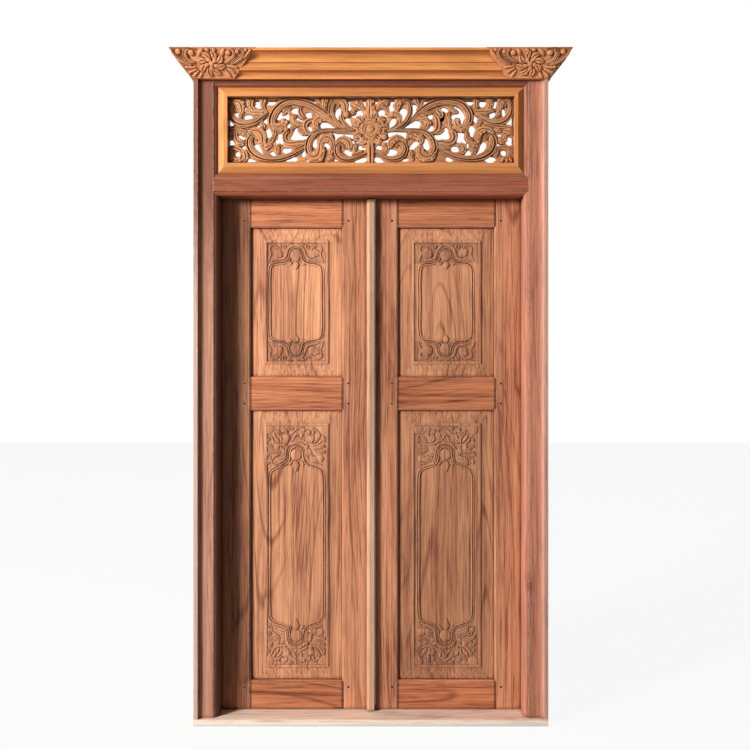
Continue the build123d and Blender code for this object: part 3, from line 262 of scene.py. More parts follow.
def teak(name, color, worn_and_sheen, along="Z", shift=0.0, figure=0.5, streaks=0.6, patches=0.4, rings=9.0,
         wear=0.6, wear_width=0.004, dirt=0.8, dirt_reach=0.02, stains=()):
    """A teak finish: grain along one axis, then stains and painted shade, pale edges of rubbed wood
    and painted highlight, and crevices darkened with dirt and painted shade.
    """
    groups = shared_groups()
    made, tree = empty_material(name)
    place = add(tree, "ShaderNodeTexCoord").outputs["Object"]
    turned = add(tree, "ShaderNodeMapping", {
        "Vector": place, "Rotation": GRAIN_TURN[along],
        "Location": (shift * 0.37, shift * 0.23, shift * 0.71),
    }).outputs["Vector"]
    grain = place_group(tree, groups["grain"], {
        "Vector": turned, "Color": (*color, 1), "Figure": figure, "Streaks": streaks,
        "Patches": patches, "Rings": rings,
    })
    shade = grain["Color"]
    # Each step tints the grain: stains, and painted shade on the left jamb's inner face.
    for stain in stains:
        shade = stain(tree, place, shade)
    edge = place_group(tree, groups["edges"], {"Vector": place, "Width": wear_width})["Mask"]
    # Pale edges and crests: rubbed wood, and a painted highlight.
    shade = blend(tree, maths(tree, "MULTIPLY", edge, wear), shade, (*worn_and_sheen, 1))
    # Ambient occlusion darkens crevices, recesses and the meeting of parts: dirt and wax, and
    # painted shade.
    dark = place_group(tree, groups["crevices"], {"Reach": dirt_reach, "Strength": dirt})["Mask"]
    shade = blend(tree, dark, shade, blend(tree, 1.0, shade, SOILED_AND_SHADED_WOOD, "MULTIPLY"))
    relief = add(tree, "ShaderNodeBump", {
        "Height": grain["Height"], "Strength": 0.35, "Distance": 0.0012,
    }).outputs["Normal"]
    surface = add(tree, "ShaderNodeBsdfPrincipled", {
        "Base Color": shade, "Roughness": remap(tree, grain["Height"], -0.8, 0.0, 0.66, 0.5),
        "Normal": relief, "Specular IOR Level": 0.12,
    })
    output = add(tree, "ShaderNodeOutputMaterial")
    tree.links.new(surface.outputs[0], output.inputs["Surface"])
    return made


def graded_tint(axis, low, high, strength, color):
    """A tint that comes in unevenly from one level to another along an axis: a stain, and on the
    left jamb's inner face a painted shade.
    """
    def stain(tree, place, shade):
        level = add(tree, "ShaderNodeSeparateXYZ", {"Vector": place}).outputs[axis]
        rough = drawn_out(tree, place, (40, 40, 14))
        level = maths(tree, "MULTIPLY_ADD", rough, (high - low) * 0.8, level)
        start, end = low + (high - low) * 0.4, high + (high - low) * 0.4
        return blend(tree, remap(tree, level, start, end, 0.0, strength), shade, (*color, 1))

    return stain


def waxed(x0, x1, z0, z1, soft, strength, color):
    """A stain in a rectangle of the face, with soft and uneven edges."""
    def stain(tree, place, shade):
        at = add(tree, "ShaderNodeSeparateXYZ", {"Vector": place}).outputs
        rough = drawn_out(tree, place, (60, 60, 30))
        share = remap(tree, rough, 0.35, 0.62, 0.4 * strength, strength)
        for axis, low, high in (("X", x0, x1), ("Z", z0, z1)):
            share = maths(tree, "MULTIPLY", share, remap(tree, at[axis], low - soft, low))
            share = maths(tree, "MULTIPLY", share, remap(tree, at[axis], high + soft, high))
        return blend(tree, share, shade, (*color, 1))

    return stain


def wear_material(obj, material):
    """Put one material in every slot of a piece."""
    if not obj.data.materials:
        obj.data.materials.append(material)
    for slot in obj.material_slots:
        slot.material = material


# Carving tools

# Cross-sections of the carver's strokes, in half-widths: across, and up from the ground.
SECTIONS = {
    "band": [
        (-1, 0), (-0.96, 0.34), (-0.8, 0.46), (-0.66, 0.3), (-0.52, -0.1), (-0.36, 0.02),
        (-0.24, 0.5), (-0.06, 0.72), (0.12, 0.6), (0.2, 0.3), (0.3, 0.56), (0.48, 0.62),
        (0.58, 0.3), (0.68, 0.5), (0.86, 0.44), (0.98, 0.3), (1, 0),
    ],
    "stem": [
        (-1, 0), (-0.92, 0.36), (-0.62, 0.6), (-0.3, 0.5), (-0.1, 0.1), (0.12, 0.1),
        (0.34, 0.56), (0.66, 0.64), (0.92, 0.38), (1, 0),
    ],
    "leaf": [
        (-1, 0), (-0.94, 0.28), (-0.62, 0.5), (-0.34, 0.42), (-0.2, 0.12), (-0.04, 0.4),
        (0.2, 0.56), (0.44, 0.4), (0.54, 0.18), (0.66, 0.42), (0.92, 0.28), (1, 0),
    ],
    "lobe": [(-1, 0), (-0.92, 0.34), (-0.6, 0.58), (0, 0.7), (0.6, 0.58), (0.92, 0.34), (1, 0)],
    "cord": [
        (-1, 0), (-0.97, 0.12), (-0.9, 0.3), (-0.72, 0.5), (-0.5, 0.52), (-0.3, 0.34),
        (-0.2, 0.06), (-0.1, 0.0), (0.06, 0.0), (0.14, 0.14), (0.32, 0.26), (0.52, 0.24),
        (0.66, 0.06), (0.8, 0.0), (1, -0.04),
    ],
    "rib": [(-1, 0), (-0.8, 0.4), (-0.3, 0.72), (0.3, 0.72), (0.8, 0.4), (1, 0)],
    "twin": [
        (-1, 0), (-0.9, 0.4), (-0.62, 0.62), (-0.32, 0.4), (-0.12, 0.0), (0.12, 0.0),
        (0.32, 0.4), (0.62, 0.62), (0.9, 0.4), (1, 0),
    ],
}
SKIRT = -60.0  # how far a section reaches down, in half-widths
END_TAPER = 0.22
END_WIDTH = 0.35


def placed(name, data):
    """An object of some data, linked to the scene."""
    made = bpy.data.objects.new(name, data)
    bpy.context.collection.objects.link(made)
    return made


def evaluated_mesh(obj):
    """The mesh that a curve or a modifier ends up as."""
    bpy.context.view_layer.update()
    return bpy.data.meshes.new_from_object(
        obj.evaluated_get(bpy.context.evaluated_depsgraph_get()))


def rows(flat, length):
    """A flat list of numbers, a few at a time."""
    return [flat[at:at + length] for at in range(0, len(flat), length)]


def rounded(points):
    """The stroke with a short taper at each end, so that the carver's cuts end round."""
    def beyond(end, inner):
        run = Vector((end[0] - inner[0], end[1] - inner[1]))
        run = run.normalized() * end[2] * END_TAPER
        return (end[0] + run.x, end[1] + run.y, end[2] * END_WIDTH)

    return [beyond(points[0], points[1]), *points, beyond(points[-1], points[-2])]


def section_curve(name, flip):
    """A flat closed curve to sweep along a stroke."""
    data = bpy.data.curves.new(f"{name} section", "CURVE")
    data.dimensions = "2D"
    outline = [(-1, SKIRT), *SECTIONS[name], (1, SKIRT)]
    spline = data.splines.new("POLY")
    spline.points.add(len(outline) - 1)
    for point, (across, up) in zip(spline.points, outline):
        point.co = (across * flip, up, 0, 1)
    spline.use_cyclic_u = True
    return placed(f"{name} section", data)


def smooth_spline(data, points, level):
    """A curve that passes smoothly through points, given across, up and perhaps in width."""
    spline = data.splines.new("BEZIER")
    spline.bezier_points.add(len(points) - 1)
    for knot, (x, z, *width) in zip(spline.bezier_points, points):
        knot.co = (x, z, level)
        if width:
            knot.radius = width[0] / 2
        knot.handle_left_type = "AUTO"
        knot.handle_right_type = "AUTO"
    return spline


def sweep_strokes(strokes):
    """One mesh of all the strokes: section, side of its gouge, lift, and x, z and width in turn."""
    joined = bmesh.new()
    for kind, flip in sorted({stroke[:2] for stroke in strokes}):
        section = section_curve(kind, flip)
        data = bpy.data.curves.new("strokes", "CURVE")
        data.dimensions = "3D"
        data.twist_mode = "Z_UP"
        data.bevel_mode = "OBJECT"
        data.bevel_object = section
        data.use_fill_caps = True
        data.resolution_u = 4
        for _, _, lift, flat in (s for s in strokes if s[:2] == (kind, flip)):
            smooth_spline(data, rounded(rows(flat, 3)), lift)
        swept = placed("strokes", data)
        mesh = evaluated_mesh(swept)
        joined.from_mesh(mesh)
        for scrap in (swept, section):
            bpy.data.objects.remove(scrap)
        bpy.data.meshes.remove(mesh)
    bmesh.ops.remove_doubles(joined, verts=joined.verts, dist=1e-4)
    return joined


def curl(section, flip, lift, centre, start, steps):
    """A stroke about a centre: each step gives its turn, its distance and its width."""
    flat = []
    for turn, out, width in steps:
        angle = start + turn
        flat += (centre[0] + out * math.cos(angle), centre[1] + out * math.sin(angle), width)
    return (section, flip, lift, flat)


def join(carving, addition):
    """Add one bmesh's shape to another."""
    mesh = bpy.data.meshes.new("joined")
    addition.to_mesh(mesh)
    carving.from_mesh(mesh)
    bpy.data.meshes.remove(mesh)


def add_bosses(carving, places):
    """Round bosses that stand on the ground. Each is (x, z, radius, height, lift)."""
    boss = bmesh.new()
    for x, z, radius, height, lift in places:
        boss.clear()
        size = Matrix.Diagonal((radius, radius, height, 1))
        matrix = Matrix.Translation((x, z, lift)) @ size
        bmesh.ops.create_uvsphere(boss, u_segments=14, v_segments=9, radius=1.0, matrix=matrix)
        join(carving, boss)
    boss.free()


def bar(carving, low, high):
    """Add a plain block between two corners, given across, up and in height."""
    size = Matrix.Diagonal((*(b - a for a, b in zip(low, high)), 1))
    middle = Matrix.Translation([(a + b) / 2 for a, b in zip(low, high)])
    bmesh.ops.create_cube(carving, size=1.0, matrix=middle @ size)


def scallops(strokes, narrowest=17):
    """Small round lobes along the edges of the wide leaves, as bosses."""
    lobes = []
    for kind, _, lift, flat in strokes:
        points = rows(flat, 3)
        for before, (x, z, width), after in zip(points, points[1:], points[2:]):
            if kind != "leaf" or width < narrowest:
                continue
            run = Vector((after[0] - before[0], after[1] - before[1])).normalized()
            for side in (-1, 1):
                lobes.append((
                    x - side * run.y * width * 0.36, z + side * run.x * width * 0.36,
                    width * 0.24, width * 0.22, lift + 0.5))
    return lobes


def settle(carving, depth, relief):
    """Bring the undersides to one depth, and press the crests softly below the relief."""
    for vert in carving.verts:
        if vert.co.z < -depth:
            vert.co.z = -depth
        elif vert.co.z > 0:
            vert.co.z = relief * math.tanh(vert.co.z / relief)


def clip(carving, x0, x1, z0, z1):
    """Hold the carving inside its field."""
    for vert in carving.verts:
        vert.co.x = min(max(vert.co.x, x0), x1)
        vert.co.y = min(max(vert.co.y, z0), z1)


def finished_piece(name, carving, body, material, sharp=38):
    """The carving as an object that rides on a body, smooth but for its sharp edges."""
    bmesh.ops.recalc_face_normals(carving, faces=carving.faces)
    mesh = bpy.data.meshes.new(name)
    carving.to_mesh(mesh)
    carving.free()
    mesh.shade_smooth()
    mesh.set_sharp_from_angle(angle=math.radians(sharp))
    piece = placed(name, mesh)
    wear_material(piece, material)
    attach(piece, body)
    return piece


def front_place(ground_y, above=0.0):
    """Drawing millimetres to the door: across to X, up to Z, and out towards the viewer."""
    return Matrix((
        (MM, 0, 0, 0),
        (0, 0, -MM, ground_y * MM),
        (0, MM, 0, above * MM),
        (0, 0, 0, 1),
    ))


# The pierced transom. Strokes: section, side of its deep gouge, lift, then x, z and width at
# each turn, in millimetres. Z is measured from 2 m above the sill's foot.

TRANSOM_DATUM = 2000.0
TRANSOM_AXIS = -1.0

TRANSOM_LEFT = [
    ("band", -1, 1.5, (-95, 203, 10, -130, 222, 16, -160, 247, 22, -190, 268, 26, -222, 286, 26,
        -255, 296, 26, -288, 300, 24, -318, 293, 27, -343, 275, 30, -359, 252, 31, -366, 232, 30,
        -364, 213, 28, -352, 202, 24)),
    ("leaf", 1, 2.5, (-366, 222, 20, -352, 205, 28, -335, 203, 30, -322, 215, 24, -314, 224, 18)),
    ("band", 1, 1.0, (-70, 194, 8, -100, 203, 14, -125, 220, 20, -141, 241, 22, -148, 264, 22,
        -144, 284, 20, -134, 296, 16, -122, 294, 12, -118, 283, 8)),
    ("leaf", 1, 2.5, (-138, 303, 8, -120, 304, 16, -103, 297, 24, -96, 280, 26, -95, 262, 18,
        -88, 250, 18, -82, 248, 10)),
    ("stem", 1, 0.5, (-105, 262, 12, -107, 245, 14, -103, 228, 16, -90, 212, 16, -72, 200, 10)),
    ("leaf", 1, 0.5, (-168, 262, 8, -180, 285, 14, -192, 300, 14, -197, 312, 10)),
    ("leaf", 1, 1.0, (-168, 262, 8, -172, 285, 18, -170, 303, 24, -168, 314, 20)),
    ("band", -1, 1.0, (-62, 195, 10, -100, 195, 15, -140, 194, 14, -175, 193, 14, -203, 184, 20,
        -222, 165, 25, -231, 143, 27, -232, 122, 28, -224, 103, 28)),
    ("leaf", 1, 2.0, (-232, 105, 22, -218, 92, 34, -196, 96, 44, -187, 118, 34, -186, 142, 24,
        -176, 160, 30, -157, 164, 30, -145, 150, 22, -142, 135, 14)),
    ("leaf", -1, 0.5, (-150, 128, 8, -147, 115, 18, -150, 103, 16)),
    ("leaf", 1, 0.5, (-160, 100, 10, -150, 90, 22, -140, 85, 14)),
    ("band", 1, 1.0, (-12, 112, 6, -35, 100, 12, -62, 90, 18, -92, 87, 22, -114, 96, 24,
        -125, 114, 24, -124, 132, 22, -114, 142, 16, -104, 139, 12, -101, 128, 8)),
    ("leaf", 1, 2.5, (-131, 142, 8, -120, 157, 16, -101, 160, 26, -86, 152, 30, -79, 136, 26,
        -77, 124, 12)),
    ("leaf", 1, 0.5, (-62, 108, 10, -60, 122, 16, -58, 136, 18, -55, 146, 12)),
    ("leaf", 1, 0.0, (-70, 103, 10, -50, 108, 14, -30, 118, 10)),
    ("band", 1, 1.5, (-236, 133, 8, -262, 119, 16, -292, 104, 20, -325, 92, 22, -360, 87, 22,
        -392, 90, 24, -420, 101, 28, -441, 120, 30, -450, 143, 28, -447, 162, 22, -436, 172, 16,
        -426, 168, 12, -422, 156, 8)),
    ("leaf", 1, 2.5, (-455, 168, 10, -447, 184, 16, -430, 190, 26, -412, 184, 36, -403, 168, 34,
        -402, 152, 26, -400, 140, 12)),
    ("leaf", 1, 0.5, (-409, 150, 6, -401, 128, 10, -388, 110, 12, -368, 98, 8)),
    ("leaf", -1, 1.0, (-398, 130, 10, -387, 132, 26, -373, 138, 18, -366, 133, 8)),
    ("leaf", 1, 0.5, (-338, 104, 8, -346, 115, 18, -347, 128, 20, -338, 138, 16, -330, 136, 8)),
    ("stem", 1, 0.5, (-245, 150, 16, -270, 148, 20, -298, 145, 18, -315, 150, 16, -322, 168, 16,
        -316, 184, 18, -305, 190, 14)),
    ("leaf", 1, 1.0, (-240, 150, 10, -262, 140, 16, -283, 131, 16, -292, 128, 6)),
    ("band", 1, 1.5, (-382, 257, 10, -402, 243, 18, -430, 227, 24, -462, 219, 26, -492, 224, 27,
        -512, 240, 27, -521, 262, 24, -519, 281, 20, -509, 292, 16, -499, 288, 12, -496, 276, 8)),
    ("leaf", 1, 2.5, (-516, 288, 10, -504, 297, 16, -489, 294, 24, -481, 279, 26, -480, 261, 18,
        -485, 246, 14, -480, 235, 8)),
    ("leaf", -1, 1.0, (-415, 262, 14, -437, 270, 20, -447, 285, 22, -445, 300, 22, -437, 309, 16)),
    ("stem", 1, 1.5, (-398, 258, 16, -425, 258, 20, -450, 262, 16, -467, 265, 8)),
    ("stem", 1, 0.5, (-390, 262, 12, -412, 250, 20, -430, 246, 14, -438, 245, 8)),
    ("leaf", -1, 1.0, (-388, 258, 14, -397, 272, 16, -401, 288, 18, -400, 302, 24, -396, 312, 22)),
    ("leaf", 1, 0.0, (-408, 231, 8, -403, 221, 14, -399, 209, 18, -397, 199, 12)),
    ("leaf", 1, 0.5, (-355, 192, 10, -358, 180, 18, -362, 168, 16, -370, 156, 20, -376, 148, 14,
        -366, 143, 8)),
    ("leaf", 1, 0.5, (-296, 278, 8, -308, 272, 16, -318, 265, 18, -322, 257, 14)),
    ("leaf", 1, 0.5, (-305, 268, 10, -298, 254, 16, -288, 246, 18, -276, 248, 12)),
    ("rib", 1, 0.0, (-290, 245, 8, -288, 230, 14, -283, 218, 14)),
    ("leaf", 1, 1.0, (-252, 216, 14, -270, 220, 18, -288, 226, 16, -300, 231, 8)),
    ("leaf", 1, 0.5, (-268, 214, 12, -283, 209, 16, -292, 200, 12, -293, 192, 8)),
    ("stem", 1, 0.5, (-258, 285, 12, -264, 270, 14, -262, 255, 18, -252, 243, 18, -243, 240, 10)),
    ("stem", 1, 1.0, (-214, 232, 14, -232, 228, 20, -243, 213, 20, -240, 196, 18, -230, 184, 16,
        -213, 183, 14)),
    ("leaf", 1, 0.5, (-236, 180, 12, -252, 184, 18, -264, 192, 16, -270, 200, 10)),
    ("leaf", 1, 1.0, (-140, 225, 10, -165, 240, 26, -190, 252, 26, -207, 260, 16, -218, 256, 8)),
    ("leaf", -1, 1.5, (-165, 235, 16, -190, 235, 30, -205, 222, 24, -203, 208, 18, -192, 202, 10)),
    ("stem", 1, 0.0, (-540, 203, 10, -505, 203, 12, -470, 207, 14, -435, 216, 14, -410, 230, 10)),
    ("leaf", 1, 0.5, (-538, 168, 12, -522, 178, 16, -508, 192, 14, -495, 203, 10)),
    ("leaf", 1, 1.0, (-497, 197, 10, -502, 180, 16, -500, 162, 22, -490, 148, 28, -476, 147, 22,
        -470, 155, 12)),
    ("leaf", 1, 0.5, (-497, 190, 8, -482, 190, 18, -468, 184, 20, -460, 176, 14)),
    ("stem", 1, 1.0, (-520, 130, 16, -500, 128, 18, -482, 118, 18, -476, 100, 20, -484, 85, 18,
        -502, 82, 18, -514, 92, 18, -518, 108, 16)),
    ("leaf", 1, 1.5, (-480, 120, 14, -468, 108, 22, -464, 92, 22, -470, 78, 14)),
    ("leaf", 1, 0.5, (-512, 95, 16, -525, 82, 20)),
    ("rib", 1, 0.5, (-500, 85, 14, -505, 74, 14)),
    ("rib", 1, 0.5, (-485, 85, 14, -488, 73, 12)),
]

# Round lobes on the leaves: x, z, radius, height and lift.
TRANSOM_LOBES_LEFT = [
    (-325, 228, 9, 7.2, 2), (-312, 222, 8, 6.4, 2), (-330, 192, 7, 5.6, 2), (-93, 293, 6, 4.8, 2),
    (-88, 275, 6, 4.8, 2), (-90, 250, 12, 9.6, 2), (-178, 172, 10, 8, 2), (-148, 175, 10, 8, 2),
    (-394, 183, 8, 6.4, 2), (-390, 165, 8, 6.4, 2), (-393, 150, 8, 6.4, 2), (-473, 296, 7, 5.6, 2),
    (-470, 281, 7, 5.6, 2), (-473, 266, 6, 4.8, 2), (-313, 196, 9, 7.2, 2),
]


TRANSOM_RIGHT = [
    ("band", 1, 1.5, (150, 226, 10, 165, 246, 16, 185, 264, 22, 210, 281, 26, 240, 294, 28,
        268, 300, 26, 300, 299, 26, 328, 292, 28, 348, 276, 30, 361, 254, 30, 363, 232, 28,
        355, 214, 24, 342, 204, 18)),
    ("leaf", -1, 2.5, (365, 222, 16, 352, 206, 22, 335, 200, 28, 318, 208, 26, 313, 225, 20,
        320, 237, 12)),
    ("leaf", 1, 0.5, (360, 200, 10, 345, 193, 14, 325, 192, 10)),
    ("band", -1, 1.0, (66, 191, 8, 95, 200, 14, 120, 216, 20, 137, 238, 22, 145, 262, 22,
        143, 284, 20, 134, 298, 16, 122, 299, 12, 118, 289, 8)),
    ("leaf", -1, 2.5, (140, 308, 8, 118, 310, 18, 102, 296, 28, 96, 278, 24, 97, 262, 14)),
    ("leaf", -1, 1.5, (110, 225, 12, 106, 243, 18, 92, 254, 24, 75, 252, 18, 66, 246, 10)),
    ("stem", 1, 0.5, (72, 198, 10, 92, 208, 16, 102, 225, 16, 104, 240, 16)),
    ("leaf", -1, 0.5, (172, 268, 10, 176, 285, 12, 168, 300, 20, 164, 314, 18)),
    ("leaf", -1, 0.5, (184, 268, 8, 188, 285, 10, 192, 300, 12, 198, 314, 14)),
    ("band", 1, 1.0, (62, 193, 10, 100, 195, 12, 140, 194, 14, 175, 192, 16, 203, 183, 22,
        222, 165, 26, 232, 143, 28, 233, 122, 28, 224, 106, 26)),
    ("leaf", -1, 2.0, (236, 110, 20, 222, 94, 30, 200, 92, 36, 184, 104, 32, 182, 122, 28,
        190, 134, 14)),
    ("leaf", 1, 1.0, (134, 160, 12, 140, 175, 18, 150, 183, 14)),
    ("leaf", -1, 1.5, (150, 180, 12, 163, 172, 22, 180, 166, 28, 190, 155, 20, 186, 143, 12)),
    ("leaf", -1, 0.5, (152, 120, 10, 148, 106, 20, 152, 92, 16, 156, 82, 12)),
    ("band", -1, 1.0, (14, 115, 6, 32, 102, 12, 60, 90, 18, 90, 88, 22, 113, 98, 24, 125, 117, 24,
        122, 137, 22, 108, 147, 18, 96, 140, 12, 93, 128, 8)),
    ("leaf", -1, 2.5, (130, 148, 8, 116, 162, 16, 96, 165, 24, 79, 155, 28, 71, 140, 24,
        73, 128, 12)),
    ("leaf", -1, 0.5, (20, 121, 8, 40, 112, 14, 58, 116, 16, 60, 129, 16, 51, 140, 18)),
    ("leaf", -1, 1.0, (155, 231, 8, 175, 246, 18, 196, 256, 18, 216, 258, 14, 232, 260, 6)),
    ("leaf", -1, 0.5, (168, 236, 12, 188, 243, 20, 206, 240, 14)),
    ("leaf", -1, 1.5, (184, 232, 12, 202, 232, 22, 211, 218, 26, 205, 206, 20, 190, 201, 10)),
    ("stem", -1, 1.0, (232, 250, 10, 243, 238, 20, 247, 220, 22, 247, 203, 24, 240, 190, 20,
        226, 183, 12)),
    ("leaf", -1, 0.5, (238, 183, 12, 256, 190, 20, 267, 201, 16, 262, 210, 10)),
    ("stem", -1, 0.5, (243, 276, 10, 252, 262, 20, 261, 250, 20, 252, 240, 12)),
    ("leaf", -1, 0.5, (280, 282, 10, 296, 275, 20, 311, 264, 18, 325, 260, 8)),
    ("leaf", -1, 0.5, (294, 262, 10, 285, 250, 18, 290, 240, 16, 292, 226, 16, 293, 208, 14,
        301, 196, 8)),
    ("band", -1, 1.5, (240, 135, 8, 262, 122, 14, 285, 108, 18, 315, 96, 20, 350, 90, 20,
        385, 90, 22, 415, 98, 28, 440, 115, 32, 452, 138, 32, 450, 162, 28, 440, 175, 18,
        429, 170, 12, 424, 158, 8)),
    ("leaf", -1, 2.5, (454, 180, 10, 440, 193, 18, 418, 196, 26, 399, 186, 30, 393, 168, 28,
        398, 152, 18)),
    ("stem", -1, 0.5, (240, 150, 12, 265, 150, 20, 290, 146, 20, 307, 157, 22, 310, 174, 22,
        301, 190, 16)),
    ("leaf", -1, 1.0, (240, 140, 12, 262, 135, 16, 285, 130, 16, 296, 128, 8)),
    ("leaf", -1, 1.0, (330, 108, 14, 344, 118, 20, 343, 132, 22, 331, 140, 16, 322, 136, 8)),
    ("leaf", -1, 0.5, (396, 130, 10, 383, 140, 20, 368, 140, 14)),
    ("leaf", -1, 0.5, (374, 98, 10, 380, 112, 18, 387, 124, 14)),
    ("leaf", -1, 0.5, (354, 192, 10, 355, 176, 16, 361, 161, 18, 377, 154, 14)),
    ("band", -1, 1.5, (385, 258, 10, 405, 243, 18, 430, 230, 22, 458, 222, 24, 485, 226, 26,
        505, 240, 26, 516, 262, 24, 517, 282, 20, 508, 296, 16, 498, 292, 12, 496, 280, 8)),
    ("leaf", -1, 2.5, (514, 299, 10, 499, 309, 20, 483, 300, 28, 477, 282, 24, 478, 266, 14)),
    ("leaf", -1, 0.5, (471, 272, 8, 472, 256, 18, 463, 241, 16, 450, 233, 10)),
    ("stem", 1, 1.5, (385, 262, 14, 405, 262, 20, 430, 262, 18, 455, 268, 12)),
    ("stem", 1, 0.5, (388, 255, 12, 410, 250, 18, 432, 246, 12)),
    ("leaf", 1, 1.0, (384, 264, 14, 390, 283, 20, 390, 300, 20, 392, 313, 18)),
    ("leaf", 1, 1.0, (420, 262, 14, 437, 272, 20, 443, 288, 24, 440, 303, 24, 432, 312, 14)),
    ("leaf", -1, 0.0, (410, 240, 10, 402, 226, 20, 396, 212, 18, 392, 202, 10)),
    ("stem", -1, 0.0, (532, 200, 12, 500, 205, 14, 470, 208, 14, 440, 214, 14, 420, 225, 10)),
    ("leaf", -1, 0.5, (532, 182, 14, 511, 188, 22, 492, 191, 16)),
    ("leaf", -1, 1.0, (500, 178, 14, 495, 160, 22, 481, 152, 22, 472, 159, 14)),
    ("leaf", -1, 0.5, (455, 200, 10, 468, 195, 18, 482, 190, 12)),
    ("leaf", -1, 1.0, (462, 96, 14, 463, 113, 20, 474, 128, 16, 492, 130, 14, 508, 124, 16,
        514, 108, 18, 508, 93, 16, 492, 90, 14)),
    ("leaf", -1, 0.5, (524, 124, 12, 528, 108, 16, 526, 92, 14)),
    ("rib", 1, 0.5, (490, 88, 14, 484, 76, 12)),
    ("rib", 1, 0.5, (503, 86, 14, 504, 75, 12)),
    ("rib", 1, 0.5, (514, 90, 12, 521, 78, 14)),
]

TRANSOM_LOBES_RIGHT = [
    (322, 229, 10, 8, 2), (310, 214, 7, 5.6, 2), (326, 205, 8, 6.4, 2), (98, 288, 7, 5.6, 2),
    (90, 268, 6, 4.8, 2), (78, 250, 10, 8, 2), (180, 165, 9, 7.2, 2), (150, 170, 8, 6.4, 2),
    (395, 182, 9, 7.2, 2), (391, 166, 8, 6.4, 2), (398, 150, 8, 6.4, 2), (478, 158, 9, 7.2, 2),
    (475, 297, 7, 5.6, 2), (472, 281, 7, 5.6, 2), (301, 188, 9, 7.2, 2), (49, 141, 9, 7.2, 2),
    (205, 222, 9, 7.2, 2), (440, 302, 8, 6.4, 2), (50, 168, 12, 9.6, 2), (30, 150, 9, 7.2, 2),
]

ROSETTE_Z = 198.0
RING_PETALS = 11
ROSETTE_BUDS = [
    ("leaf", 1, 1.0, (-1, 240, 30, -1, 258, 44, -1, 276, 30, -1, 290, 14)),
    ("leaf", 1, 0.5, (-1, 285, 16, -1, 300, 26, -1, 314, 22)),
    ("leaf", 1, 0.5, (-18, 262, 10, -35, 280, 22, -55, 290, 26, -72, 297, 10)),
    ("leaf", -1, 0.5, (-40, 275, 10, -60, 268, 14, -66, 258, 16, -75, 262, 8)),
    ("leaf", 1, 0.5, (20, 265, 10, 38, 285, 22, 55, 297, 24, 72, 303, 8)),
    ("leaf", 1, 0.5, (45, 280, 10, 62, 262, 16, 68, 250, 10)),
    ("stem", 1, 1.0, (-1, 150, 20, -1, 120, 26, -1, 95, 24, -1, 68, 22)),
    ("leaf", 1, 1.5, (-12, 152, 14, -30, 150, 20, -44, 143, 10)),
    ("leaf", -1, 1.5, (10, 152, 14, 28, 150, 20, 42, 143, 10)),
]
ROSETTE_LOBES = [(TRANSOM_AXIS, ROSETTE_Z, 38, 6, 0), (TRANSOM_AXIS, ROSETTE_Z, 14, 9, 5)]


def transom_rosette():
    """The flower in the middle, with its ring of ribbed petals and its buds."""
    middle = (TRANSOM_AXIS, ROSETTE_Z)
    ring = ((0, 34, 15), (0, 48, 27), (0, 60, 22), (0, 69, 8))
    inner = [(math.radians(turn), out, width)
             for turn, out, width in ((0, 20, 10), (28, 28, 20), (62, 31, 22), (95, 27, 12))]
    strokes = [
        curl("leaf", 1 if number % 2 else -1, 0.5, middle,
             math.radians(8 + number * 360 / RING_PETALS), ring)
        for number in range(RING_PETALS)]
    strokes += [
        curl("leaf", 1, 4.0, middle, math.radians(40 + number * 90), inner) for number in range(4)]
    return strokes + ROSETTE_BUDS


